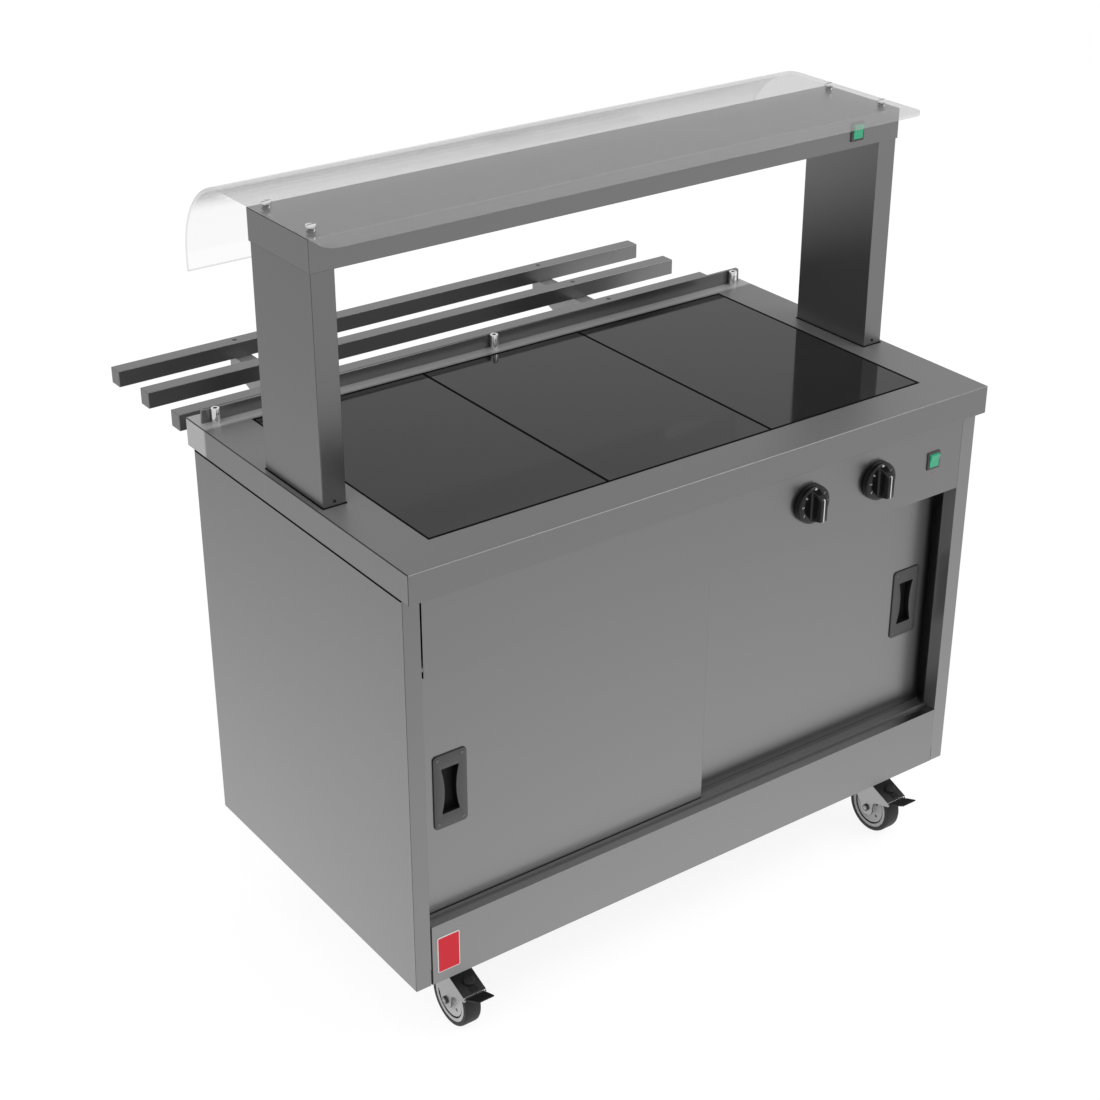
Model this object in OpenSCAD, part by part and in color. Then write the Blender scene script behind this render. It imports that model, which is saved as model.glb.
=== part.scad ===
// Mobile hot cupboard with glass hot tiles, a heated gantry, a curved guard and a tray slide.
// Millimetres. +X runs along the front to the right, -Y faces the server, +Z is up from the floor.
// Lengths in y are written from the middle of the cabinet; seat() moves them to the middle of the whole.

/* [Worktop] */
// Width of the worktop
top_w = 1165; // [1140:5:1260]
// Depth of the worktop
top_d = 680; // [660:5:740]
// Height of the worktop above the floor
top_z = 900; // [860:5:960]
// Height of the worktop's turned-down edge
apron_h = 50; // [42:1:60]
// Sheet thickness of the worktop
top_t = 1.5; // [1.2:0.1:2]
// Width of the lip turned in under the worktop's edge
lip_w = 26; // [24:1:34]

/* [Body] */
// Distance from the worktop's front or back edge to the body
overhang = 20; // [16:1:22]
// Distance from the worktop's end to the side panel
side_step = 1; // [0.5:0.1:3]
// Sheet thickness of the outer panels
skin = 1.5; // [1.2:0.1:1.8]
// Distance the panels hang below the base frame
skirt_drop = 2; // [1:0.5:6]
// Width of the side panels' front flange
flange_w = 28; // [26:1:36]
// Depth of the return behind the front flange
return_d = 28.5; // [24:0.5:31]
// Width of the side panels' rear flange
rear_flange_w = 25; // [15:1:40]
// Seam between the flanges and the pieces set between them
seam = 0.5; // [0.2:0.1:1]
// Gap between a front return and the end of the fascia or the plinth
return_gap = 2.5; // [0.5:0.1:4]
// Height of the sill, the plinth's top face
sill_z = 255; // [235:5:290]
// Depth of the sill
sill_d = 22; // [20:0.5:22.5]
// Height of the fascia
fascia_h = 141; // [125:1:146]
// Depth of the folds at the fascia's top and bottom
fascia_fold = 17; // [10:1:19]
// Height and width of the base frame's channel
channel_h = 30; // [25:1:40]
// Steel thickness of the base frame
channel_t = 2; // [1.5:0.5:3]
// Length of the base frame's corner plates
corner_x = 175; // [170:5:200]
// Width of the base frame's corner plates
corner_y = 145; // [142:1:170]
// Thickness of the base frame's corner plates
corner_t = 4; // [3:0.5:6]

/* [Liner and shelf] */
// Sheet thickness of the inner liner
liner_t = 1.2; // [1:0.1:1.5]
// Space between the side panels and the liner's walls
side_jacket = 35; // [30:1:60]
// Space between the back panel and the liner's back wall
back_jacket = 28; // [20:1:60]
// Space between the rear door and the liner's walls
liner_gap = 6; // [4:1:20]
// Height of the shelf above the sill
shelf_rise = 225; // [150:5:300]
// Sheet thickness of the shelf
shelf_t = 1.5; // [1.2:0.1:2]
// Depth of the fold along the shelf's front and back
shelf_fold = 20; // [15:1:30]
// Width of the ledges that carry the shelf
ledge_w = 15; // [10:1:25]

/* [Doors] */
// Distance from the body's front to the front door's face
door_set_back = 25; // [24.5:0.1:27]
// Thickness of each door
door_t = 17; // [16.5:0.1:19]
// Gap between the front and the rear door
door_gap = 3; // [2.8:0.1:4]
// Length by which the closed doors overlap
door_overlap = 34; // [20:1:60]
// Gap between a door's edge and the cabinet's side
door_side_gap = 1; // [0.6:0.1:3]
// Running gap between a door and the track's floor
door_lift = 0.3; // [0.2:0.1:0.6]
// Height of the doors' top edge above the fascia's bottom edge
door_head = 14; // [11:1:17]
// Sheet thickness of the doors
door_skin = 1.2; // [0.8:0.1:1.5]
// Distance from a track's end to the deck's end
track_inset = 0.2; // [0.1:0.1:2]
// Thickness of the tracks' floor and ribs
track_t = 1.5; // [1.2:0.1:1.6]
// Height of the ribs on the lower track
track_rib = 4.5; // [3:0.5:8]
// Gap between the front or rear door and its outer rib
rib_gap = 1.5; // [0.8:0.1:2]
// Height of the upper track's underside above the fascia's bottom edge
track_head = 4; // [2:0.5:8]
// Height of the upper track's top above the fascia's bottom edge
track_top = 21; // [20:0.5:26]

/* [Door handles] */
// Width of the handle plate
handle_w = 62; // [56:1:70]
// Height of the handle plate
handle_h = 134; // [120:1:160]
// Thickness of the handle plate in front of the door
handle_proud = 2.2; // [1.6:0.1:2.4]
// Corner radius of the handle plate
handle_r = 7; // [4:1:12]
// Depth of the handle's cup inside the door
cup_depth = 14; // [10:0.5:14.5]
// Wall of the handle's cup
cup_wall = 2; // [1.5:0.1:3]
// Width of the finger recess at its ends
recess_w = 32; // [28:1:38]
// Width of the finger recess at its waist
recess_waist = 21; // [18:1:26]
// Height of the finger recess
recess_h = 82; // [70:1:95]
// Distance from a door's outer edge to its handle's middle
handle_inset = 58; // [50:1:70]
// Height of the handles' middle above the sill
handle_rise = 227; // [190:1:280]

/* [Controls] */
// Distance from the right dial to the fascia switch
dial_inset = 132; // [110:1:160]
// Distance between the two dials
dial_pitch = 150; // [120:1:180]
// Height of the dials and the switch above the fascia's bottom edge
control_rise = 71; // [60:1:80]
// Radius of a dial's skirt
dial_r = 34; // [28:0.5:38]
// Thickness of a dial's skirt
skirt_t = 8.5; // [6:0.5:10]
// Distance from the fascia to the dial's front
dial_reach = 35; // [28:0.5:42]
// Width of a dial's grip
grip_w = 15; // [12:0.5:20]
// Gap between the fascia and a dial
dial_gap = 0.6; // [0.4:0.1:1.2]
// Radius of the thermostats' spindle
spindle_r = 3; // [2.5:0.5:4]
// Width of a thermostat's body
stat_w = 40; // [34:1:60]
// Height of a thermostat's body
stat_h = 36; // [30:1:50]
// Depth of a thermostat's body
stat_d = 32; // [25:1:45]
// Distance from the body's end to the fascia switch
switch_inset = 95.5; // [80:0.5:120]
// Width of a switch's bezel
bezel_w = 28; // [26:0.5:32]
// Height of a switch's bezel
bezel_h = 32; // [32:0.5:36]
// Thickness of a switch's bezel
bezel_t = 2.5; // [1.5:0.1:3.5]
// Width of a rocker
rocker_w = 20; // [18:0.5:21]
// Radius on which a rocker's ends turn
rocker_r = 13; // [12:0.1:13.3]
// Angle of a rocker from the middle at rest
rocker_tilt = 8; // [5:1:10]
// Depth of a switch's body behind the panel
switch_d = 24; // [18:1:30]

/* [Hot tiles] */
// Distance from the worktop's end to the tiles' opening
tile_side = 84.5; // [80:0.5:100]
// Distance from the worktop's front to the tiles' opening
tile_front = 77; // [70:1:90]
// Distance from the worktop's back to the tiles' opening
tile_back = 69; // [62:1:90]
// Thickness of a glass tile
tile_t = 6; // [4:0.5:8]
// Gap between tiles and round them
tile_gap = 1.5; // [1:0.1:2.5]
// Depth of the tiles below the worktop's face
tile_sink = 0.5; // [0.2:0.1:1]
// Width of the ledge that carries the tiles
tile_ledge = 8; // [6:1:12]
// Depth of the tray under the tiles
tray_h = 24; // [20:1:34]
// Sheet thickness of the tray under the tiles
tray_t = 1.2; // [1:0.1:2]
// Distance from a tile's side to its heater plate
heater_side = 17; // [14:0.5:40]
// Distance from a tile's front or back to its heater plate
heater_end = 23.5; // [16:0.5:50]
// Thickness of a heater plate
heater_t = 4; // [2:0.5:6]
// Gap between a heater plate and its tile
heater_gap = 1.5; // [1:0.1:3]

/* [Gantry] */
// Width of each post across its front
post_w = 40; // [34:1:50]
// Depth of each post
post_d = 176; // [150:1:200]
// Wall of the posts
post_t = 1.5; // [1.2:0.1:2]
// Distance from the worktop's end to a post's outer face
post_inset = 10.5; // [8:0.5:16]
// Height from the worktop to the underside of the gantry
gantry_rise = 372; // [320:2:420]
// Height of the gantry
hood_h = 52; // [50:1:60]
// Sheet thickness of the gantry
hood_t = 1.2; // [1:0.1:1.5]
// Gap between the posts and the inside of the gantry
hood_gap = 0.8; // [0.4:0.1:1.2]
// Distance from the gantry's end to the gantry switch
gantry_switch_inset = 96; // [80:1:120]
// Height of the gantry switch above the gantry's underside
gantry_switch_rise = 28; // [25:1:30]
// Radius of a heat lamp's tube
lamp_r = 6; // [4:0.5:8]
// Space between the ends of two heat lamps' tubes
lamp_space = 81.5; // [60:0.5:120]
// Width of the reflector's flat edge at each end
lamp_end = 20; // [16:1:40]
// Sheet thickness of the reflector
reflector_t = 1; // [0.8:0.1:1.5]
// Depth of the reflector's trough
trough_h = 32; // [26:1:36]
// Width of the reflector's trough at its top
trough_w = 70; // [50:1:90]
// Width of each sloping side of the reflector's trough
trough_slope = 18; // [8:1:30]
// Distance between the guard's cross bars
guard_pitch = 164; // [120:1:200]
// Distance between the guard's long bars
guard_bars_y = 40; // [30:1:52]
// Thickness of the guard's bars
guard_bar = 3; // [2:0.5:4]
// Length of the wire cage under each lamp
cage_l = 162; // [120:1:200]
// Drop of the lamp cages below the hood
cage_drop = 10.5; // [8:0.5:40]

/* [Curved guard] */
// Thickness of the curved glass
glass_t = 6; // [4:0.5:8]
// Length by which the glass passes the gantry's end
glass_side = 1; // [0.5:0.5:5]
// Length by which the glass passes the gantry's front
glass_lead = 58; // [30:1:80]
// Distance from the gantry's back to the glass's hanging face
glass_reach = 213; // [190:1:230]
// Radius of the glass's front corners seen from above
glass_corner = 20; // [8:1:40]
// Outer radius of the glass's bend
bend_r = 143; // [100:1:160]
// Height from the worktop to the glass's lower edge
glass_low = 263; // [230:1:280]
// Radius of a glass fixing's cap
cap_r = 8; // [6.5:0.5:10]
// Height of a glass fixing's cap
cap_h = 5; // [4:0.5:8]
// Radius of a glass fixing's shank
shank_r = 4; // [3:0.5:5]
// Radius of a glass fixing's washer
washer_r = 7; // [6:0.5:9]
// Thickness of a glass fixing's washer
washer_t = 1; // [0.5:0.1:2]
// Distance from the gantry's end to a glass fixing
cap_inset = 20; // [14:1:40]
// Distance from the gantry's front or back to a row of glass fixings
cap_set = 25; // [18:1:40]

/* [Plate rail] */
// Distance from the worktop's end to the plate rail's end
plate_rail_inset = 10.5; // [8:0.5:30]
// Thickness of the plate rail
plate_rail_t = 5; // [3:0.5:8]
// Height of the plate rail
plate_rail_h = 26; // [20:1:35]
// Corner radius of the plate rail's ends
plate_rail_r = 5; // [2:0.5:8]
// Distance from the worktop's back edge to the plate rail's front face
plate_rail_set = 40; // [25:1:50]
// Radius of the plate rail's posts
rail_post_r = 7.5; // [6:0.5:9]
// Distance from the plate rail's end to an end post
rail_post_inset = 21; // [17:1:70]

/* [Tray slide] */
// Distance from the worktop's end to the tray rails' ends
tray_rail_inset = 9.5; // [3:0.5:60]
// Side of the square tray rails
rail_s = 30; // [25:1:40]
// Wall of the tray rails
rail_t = 1.5; // [1.2:0.1:2.5]
// Distance from one tray rail to the next
rail_pitch = 115; // [90:1:125]
// Distance from the worktop's back edge to the first tray rail
rail_clear = 46; // [30:1:60]
// Distance from the worktop's face down to the tray rails' top
rail_drop = 15.5; // [5:0.5:25]
// Distance from the tray rails' end to a tray bracket's screws
bracket_inset = 236; // [150:1:320]
// Width of a tray bracket
bracket_w = 32; // [28:1:60]
// Distance from a tray bracket's screws to its middle, to the right
bracket_shift = 9; // [0:0.5:9]
// Steel thickness of a tray bracket
bracket_t = 3; // [2:0.5:4]
// Depth of a tray bracket at the cabinet
bracket_root = 120; // [90:5:180]
// Depth of a tray bracket at its tip
bracket_tip = 22; // [16:1:30]

/* [Castors] */
// Height from the floor to the base frame
castor_h = 145; // [145:1:160]
// Distance from the body's end to a castor's swivel axis
castor_side = 109.5; // [100:0.5:140]
// Distance from the body's front or back to a castor's swivel axis
castor_end = 88; // [84:1:100]
// Radius of a wheel
wheel_r = 50; // [46:0.5:50]
// Width of a tyre
tyre_w = 31; // [24:1:32]
// Radius where the tyre meets the hub
rim_r = 41.5; // [36:0.5:42]
// Distance from the swivel axis to the wheel's axle
trail = 35; // [30:1:36]
// Radius of the wheel's axle
axle_r = 4; // [3:0.5:5]
// Running gap round axles, pins and spindles
running = 0.05; // [0.03:0.01:0.08]
// Thickness of the fork's legs
leg_t = 3.3; // [2.5:0.1:4]
// Gap between the fork's legs and the hub
leg_gap = 0.5; // [0.4:0.1:1]
// Length of a hub along its axle
hub_l = 36; // [32:1:36]
// Length of the fork's legs in front of the axle
leg_reach = 55; // [50:0.5:57]
// Height of the legs' front edge above the axle
leg_rise = 37.5; // [35:0.5:40]
// Radius of the boss round the axle
boss_r = 15; // [12:0.5:18]
// Length of the fork's sloping cover in front of the axle
cover_reach = 54.5; // [52:0.5:56]
// Height of the cover's front edge above the axle
cover_rise = 38.5; // [37:0.5:40]
// Height by which the cover climbs
cover_climb = 20; // [17:0.5:22]
// Thickness of the fork's cover
cover_t = 1.6; // [1.2:0.1:2]
// Radius of the axle's nuts
nut_r = 7; // [6:0.5:9]
// Thickness of the axle's nuts
nut_t = 4; // [3:0.5:5]
// Thickness of the castors' top plate
plate_t = 3; // [2:0.5:4]
// Radius of the swivel pin
king_r = 6; // [5:0.5:8]
// Radius of the brake pedal's pin
pedal_pin_r = 2; // [1.5:0.1:2.5]
// Distance from the axle to the brake pedal's pin, along y
pedal_back = 47; // [45:0.5:49]
// Height of the brake pedal's pin above the axle
pedal_rise = 35; // [33:0.5:37]
// Length of the brake pedal in front of its pin
pedal_l = 40; // [30:1:46]

/* [Small parts] */
// Width of the blank badge plate
badge_w = 42; // [30:1:50]
// Height of the blank badge plate
badge_h = 68; // [50:1:80]
// Thickness of the blank badge plate
badge_t = 1.2; // [0.8:0.1:2]
// Distance from the plinth's end to the badge plate
badge_inset = 9; // [5:1:40]
// Radius of the cable gland's bore
gland_bore = 6; // [5:0.5:8]
// Distance from the body's end to the cable gland
gland_inset = 131.5; // [80:0.5:280]
// Height of the cable gland above the skirt
gland_rise = 75; // [50:1:90]

// Width of the plate that carries the cupboard's heating element
element_w = 420; // [300:10:600]
// Depth of the plate that carries the cupboard's heating element
element_d = 220; // [160:10:300]
// Thickness of the plate that carries the cupboard's heating element
element_plate_t = 2; // [1.5:0.5:4]
// Radius of the heating element's bend
element_bend = 60; // [40:5:70]
// Radius of the heating element's rod
element_r = 4.25; // [3:0.25:5]

/* [Fasteners] */
// Length of the castors' top plate along x
castor_plate_x = 100; // [95:1:105]
// Length of the castors' top plate along y
castor_plate_y = 85; // [80:1:90]
// Half the distance between a castor's bolts along x
bolt_x = 40; // [36:1:41]
// Half the distance between a castor's bolts along y
bolt_y = 30; // [26:1:33]
// Radius of the castors' bolts
bolt_r = 4; // [3:0.5:4.5]
// Radius of the tray rails' screws
screw_r = 2.5; // [2:0.5:3]
// Radius of the heads of the tray rails' screws
screw_head_r = 4.5; // [4:0.5:6]
// Height of the heads of the posts' screws
screw_head_h = 1; // [0.8:0.1:3]
// Depth of the tray rails' screws below the rails' face
sunk_drop = 0.1; // [0.05:0.05:0.3]
// Radius of the posts' screws
post_screw_r = 1.5; // [1.2:0.1:2]
// Radius of the heads of the posts' screws
post_head_r = 2.5; // [2.2:0.1:4]
// Height of the posts' screws above the worktop
post_screw_rise = 8.5; // [6:0.5:20]
// Gap between a screw or bolt and its hole
hole_gap = 0.1; // [0.05:0.05:0.3]

/* [Hidden] */
$fn = 48;
body_w = top_w - 2 * side_step;
body_d = top_d - 2 * overhang;
front_y = -body_d / 2;
back_y = body_d / 2;
in_x = body_w / 2 - skin;
body_top = top_z - apron_h;
skirt_z = castor_h - skirt_drop;
mouth_x = body_w / 2 - flange_w;
insert_x = mouth_x - skin - return_gap;
between_x = mouth_x - skin - seam;
fascia_z = body_top - fascia_h;
channel_w = channel_h;
// doors and tracks
floor_z = sill_z + track_t;
door_low = floor_z + door_lift;
door_high = fascia_z + door_head;
door_y1 = front_y + door_set_back;
door_y2 = door_y1 + door_t + door_gap;
door_end = door_y2 + door_t;
track_y = door_y1 - rib_gap - track_t;
track_d = door_end + rib_gap + track_t - track_y;
head_z = fascia_z + track_top;
door_far = mouth_x - skin - door_side_gap;
handle_x = door_far - handle_inset;
handle_z = sill_z + handle_rise;
// liner
liner_x = in_x - side_jacket;
liner_y = back_y - skin - back_jacket;
shelf_z = sill_z + shelf_rise;
// controls
control_z = fascia_z + control_rise;
switch_x = body_w / 2 - switch_inset;
dial_x = switch_x - dial_inset - dial_pitch;
rocker_depth = 2;
rocker_front = 6;
rocker_back = 4;
rocker_clear = 0.3;
pivot_r = 1.5;
pivot_l = 1.2;
cut_w = rocker_w + 3;
cut_h = 2 * (rocker_r + rocker_clear) + 2.8;
// tiles
hole_w = top_w - 2 * tile_side;
hole_d = top_d - tile_front - tile_back;
tile_w = (hole_w - 4 * tile_gap) / 3;
tile_d = hole_d - 2 * tile_gap;
tile_y = (tile_front - tile_back) / 2;
tile_pitch = tile_w + tile_gap;
heater_w = tile_w - 2 * heater_side;
heater_d = tile_d - 2 * heater_end;
tile_top = top_z - tile_sink;
tray_wall = 7;
tray_top = top_z - top_t;
// gantry
post_x = top_w / 2 - post_inset;
hood_x = post_x + hood_gap + hood_t;
hood_y = post_d / 2 + hood_gap + hood_t;
hood_z = top_z + gantry_rise;
hood_top = hood_z + hood_h;
gantry_switch_x = hood_x - gantry_switch_inset;
lamp_l = tile_pitch - lamp_space;
lamp_half = 1.5 * tile_pitch - lamp_end;
lamp_z = hood_z + trough_h - lamp_r - 8;
// guard
glass_z = hood_top + washer_t + glass_t;
glass_x = hood_x + glass_side;
glass_front = hood_y + glass_lead;
glass_back = hood_y + glass_reach;
cap_x = hood_x - cap_inset;
cap_y = hood_y - cap_set;
// plate rail
plate_rail_x = top_w / 2 - plate_rail_inset;
plate_rail_y = top_d / 2 - plate_rail_set;
rail_post_x = plate_rail_x - rail_post_inset;
// tray slide
rail_z = top_z - rail_drop - rail_s;
rail_y1 = top_d / 2 + rail_clear;
tray_rail_x = top_w / 2 - tray_rail_inset;
bracket_x = tray_rail_x - bracket_inset;
slide_end = rail_y1 + 2 * rail_pitch + rail_s;
gland_x = body_w / 2 - gland_inset;
// castors
castor_x = body_w / 2 - castor_side;
castor_y = body_d / 2 - castor_end;
leg_x = hub_l / 2 + leg_gap;
fork_x = leg_x + leg_t;
plate_z = castor_h - plate_t;
race_t = 3;
race_r = 26;
head_t = 6;
head_gap = 0.3;
fork_top = plate_z - race_t - head_gap;
pedal_y = -trail - pedal_back;
pedal_z = wheel_r + pedal_rise;
pedal_hub = 3.6;
// the whole object's middle lies halfway between the dials' front and the last tray rail
mid_y = (slide_end - (body_d / 2 + dial_reach)) / 2;
steel = "#8b8a89";
dark = "#2c2c2c";
chrome = "#d8d8d8";

// Moves a piece from the cabinet's middle to the middle of the whole object
module seat() {
  translate([0, -mid_y, 0]) children();
}

// A box between two corners
module span(a, b) {
  translate(a) cube(b - a);
}

// A box centred on x between two heights and two depths
module bar_x(half, y1, y2, z1, z2) {
  span([-half, y1, z1], [half, y2, z2]);
}

// A side profile drawn in y and z, carried along x from x1 to x2
module along_x(x1, x2) {
  translate([x1, 0, 0]) rotate([90, 0, 90]) linear_extrude(x2 - x1) children();
}

// A cylinder along y from y1 to y2
module rod_y(x, z, r, y1, y2) {
  translate([x, y2, z]) rotate([90, 0, 0]) cylinder(r = r, h = y2 - y1);
}

// A cylinder along x from x1 to x2
module rod_x(y, z, r, x1, x2) {
  translate([x1, y, z]) rotate([0, 90, 0]) cylinder(r = r, h = x2 - x1);
}

// A plate with round corners that faces the front
module round_plate(w, h, r, y1, y2) {
  span([-w / 2 + r, y1, -h / 2], [w / 2 - r, y2, h / 2]);
  span([-w / 2, y1, -h / 2 + r], [w / 2, y2, h / 2 - r]);
  for (sx = [-1, 1], sz = [-1, 1])
    rod_y(sx * (w / 2 - r), sz * (h / 2 - r), r, y1, y2);
}

// Base and body
module base_frame() color(steel) difference() {
  x = in_x - channel_t;
  y = back_y - skin;
  z1 = castor_h;
  z2 = castor_h + channel_h;
  seat() {
    difference() {
      span([-in_x, -y, z1], [in_x, y, z2]);
      span([-in_x + channel_w, -y + channel_w, z1 - 1], [in_x - channel_w, y - channel_w, z2 + 1]);
      span([-x, channel_t - y, z1 + channel_t], [x, y - channel_t, z2 - channel_t]);
    }
    for (sx = [-1, 1], sy = [-1, 1])
      translate([sx * (x - corner_x / 2), sy * (y - channel_t - corner_y / 2), z1 + corner_t / 2])
        cube([corner_x, corner_y, corner_t], center = true);
  }
  for (sx = [-1, 1], sy = [-1, 1]) at_castor(sx, sy) bolts(bolt_r + hole_gap, z1 - 1, z1 + corner_t + 1);
}

// The four bolts of one castor, or their holes, between two heights
module bolts(r, z1, z2) {
  for (x = [-bolt_x, bolt_x], y = [-bolt_y, bolt_y])
    translate([x, y, z1]) cylinder(r = r, h = z2 - z1);
}

module side_panel(s) {
  x = s * body_w / 2;
  module sheet(x1, y1, z1, x2, y2, z2) {
    span([min(x1, x2), y1, z1], [max(x1, x2), y2, z2]);
  }
  sheet(x, front_y, skirt_z, x - s * skin, back_y, body_top);
  sheet(x, front_y, skirt_z, x - s * flange_w, front_y + skin, body_top);
  sheet(x, back_y - skin, skirt_z, x - s * rear_flange_w, back_y, body_top);
  sheet(s * mouth_x, front_y, castor_h + channel_h, s * (mouth_x - skin), front_y + return_d, body_top);
}

module side_panel_left() color(steel) seat() side_panel(-1);
module side_panel_right() color(steel) seat() side_panel(1);

module back_panel() color(steel) seat() difference() {
  bar_x(body_w / 2 - rear_flange_w - seam / 2, back_y - skin, back_y, skirt_z, body_top);
  rod_y(-gland_x, skirt_z + gland_rise, gland_bore + 2, back_y - skin - 1, back_y + 1);
}

// A front strip that stands off the left return and closes up to the right one
module insert(y1, y2, z1, z2) {
  span([-insert_x, y1, z1], [between_x, y2, z2]);
}

module plinth() color(steel) seat() {
  insert(front_y, front_y + skin, skirt_z, sill_z);
  insert(front_y, front_y + sill_d, sill_z - skin, sill_z);
}

// A shelf-wide plate that fits between the side panels and clears their front returns
module deck(z1, z2) {
  y1 = front_y + return_d + seam;
  bar_x(between_x, front_y + sill_d + seam, y1 + 1, z1, z2);
  bar_x(in_x, y1, back_y - skin, z1, z2);
}

module inner_liner() color("#9c9b99") seat() {
  y1 = door_end + liner_gap;
  deck(sill_z - liner_t, sill_z);
  deck(head_z, head_z + liner_t);
  for (s = [-1, 1]) {
    x = s * liner_x;
    span([min(x, x + s * liner_t), y1, sill_z - 0.5],
         [max(x, x + s * liner_t), liner_y + liner_t, head_z + 0.5]);
    span([min(x, x - s * ledge_w), y1 + 10, shelf_z - liner_t], [max(x, x - s * ledge_w), liner_y, shelf_z]);
    span([min(x, x - s * liner_t), y1 + 10, shelf_z - ledge_w], [max(x, x - s * liner_t), liner_y, shelf_z]);
  }
  bar_x(liner_x + liner_t, liner_y, liner_y + liner_t, sill_z - 0.5, head_z + 0.5);
}

module shelf() color("#9c9b99") seat() {
  x = liner_x - liner_t - 0.5;
  fold_x = liner_x - ledge_w - 1;
  y1 = door_end + liner_gap + 12;
  y2 = liner_y - 2;
  bar_x(x, y1, y2, shelf_z, shelf_z + shelf_t);
  bar_x(fold_x, y1, y1 + shelf_t, shelf_z - shelf_fold, shelf_z + shelf_t);
  bar_x(fold_x, y2 - shelf_t, y2, shelf_z - shelf_fold, shelf_z + shelf_t);
}

// Ribs of a door track between two heights
module track_ribs(z1, z2) {
  half = between_x - track_inset;
  bar_x(half, track_y, track_y + track_t, z1, z2);
  bar_x(half, door_y2 - (door_gap + track_t) / 2, door_y2 - (door_gap - track_t) / 2, z1, z2);
  bar_x(half, track_y + track_d - track_t, track_y + track_d, z1, z2);
}

module door_track_bottom() color("#6e6e6e") seat() {
  bar_x(between_x - track_inset, track_y, track_y + track_d, sill_z, floor_z);
  track_ribs(sill_z, floor_z + track_rib);
}

module door_track_top() color("#6e6e6e") seat() {
  bar_x(between_x - track_inset, track_y, track_y + track_d, head_z - track_t, head_z);
  track_ribs(fascia_z + track_head, head_z);
}

module fascia() color(steel) seat() difference() {
  union() {
    insert(front_y, front_y + skin, fascia_z, body_top);
    insert(front_y, front_y + fascia_fold, fascia_z, fascia_z + skin);
    insert(front_y, front_y + fascia_fold, body_top - skin, body_top);
  }
  for (i = [0, 1])
    rod_y(dial_x + i * dial_pitch, control_z, spindle_r + 2, front_y - 1, front_y + skin + 1);
  span([switch_x - cut_w / 2, front_y - 1, control_z - cut_h / 2],
       [switch_x + cut_w / 2, front_y + skin + 1, control_z + cut_h / 2]);
}

module badge_plate() color("#c4202c") seat() {
  x1 = -insert_x + badge_inset;
  z1 = skirt_z + (sill_z - skirt_z - badge_h) / 2 - 3;
  span([x1, front_y - badge_t, z1], [x1 + badge_w, front_y, z1 + badge_h]);
}

// Inner pieces
module thermostats() color("#d9d4c6") seat() for (i = [0, 1]) difference() {
  x = dial_x + i * dial_pitch;
  union() {
    span([x - stat_w / 2, front_y + skin, control_z - stat_h / 2],
         [x + stat_w / 2, front_y + skin + stat_d, control_z + stat_h / 2]);
    rod_y(x, control_z, spindle_r + 1.8, front_y - 1.5, front_y + skin + 1);
  }
  rod_y(x, control_z, spindle_r + running, front_y - 3, front_y + skin + stat_d - 8);
}

module cupboard_element() color("#7a6a5c") seat() {
  x2 = element_w / 2;
  bend = element_bend;
  box_l = 32;
  z1 = sill_z - liner_t - element_plate_t;
  rod_z = z1 - element_r - 1;
  bar_x(x2, -element_d / 2, element_d / 2, z1, z1 + element_plate_t);
  for (y = [-bend, bend]) rod_x(y, rod_z, element_r, -x2 + box_l - 2, x2 - bend);
  translate([x2 - bend, 0, rod_z]) rotate([0, 0, -90])
    rotate_extrude(angle = 180) translate([bend, 0]) circle(r = element_r);
  for (x = [-x2 / 2, 0, x2 / 2], y = [-bend, bend])
    bar_z_at(x, y, element_r + 2, rod_z - 2, z1 + 1);
  span([-x2, -bend - 15, rod_z - element_r - 2], [-x2 + box_l, bend + 15, z1 + 1]);
}

module cable_gland() color(dark) seat() difference() {
  x = -gland_x;
  z = skirt_z + gland_rise;
  union() {
    rod_y(x, z, gland_bore + 1.9, back_y - 8, back_y + 14);
    translate([x, back_y + 6, z]) rotate([90, 0, 0]) cylinder(r = gland_bore + 7, h = 6, $fn = 6);
    translate([x, back_y - skin, z]) rotate([90, 0, 0]) cylinder(r = gland_bore + 6, h = 4, $fn = 6);
    rod_y(x, z, gland_bore + 4, back_y + 6, back_y + 16);
  }
  rod_y(x, z, gland_bore, back_y - 9, back_y + 17);
}

// Worktop and hot tiles
module worktop() color(steel) seat() {
  x = top_w / 2;
  y = top_d / 2;
  step = tile_top - tile_t;
  hole_x = hole_w / 2;
  hole_y1 = tile_y - hole_d / 2;
  hole_y2 = tile_y + hole_d / 2;
  ledge = tile_ledge;
  difference() {
    bar_x(x, -y, y, body_top, top_z);
    bar_x(x - top_t, -y + top_t, y - top_t, body_top + top_t, top_z - top_t);
    bar_x(x - lip_w, -y + lip_w, y - lip_w, body_top - 1, body_top + top_t + 1);
    bar_x(hole_x, hole_y1, hole_y2, top_z - top_t - 1, top_z + 1);
  }
  difference() {
    bar_x(hole_x + top_t, hole_y1 - top_t, hole_y2 + top_t, step - top_t, top_z - top_t / 2);
    bar_x(hole_x, hole_y1, hole_y2, step, top_z);
    bar_x(hole_x - ledge, hole_y1 + ledge, hole_y2 - ledge, step - top_t - 1, top_z);
  }
}

module hot_tile(i) {
  x = i * tile_pitch;
  span([x - tile_w / 2, tile_y - tile_d / 2, tile_top - tile_t],
       [x + tile_w / 2, tile_y + tile_d / 2, tile_top]);
}

module hot_tile_left() color("#3a3a3a") seat() hot_tile(-1);
module hot_tile_middle() color("#3a3a3a") seat() hot_tile(0);
module hot_tile_right() color("#3a3a3a") seat() hot_tile(1);

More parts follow.
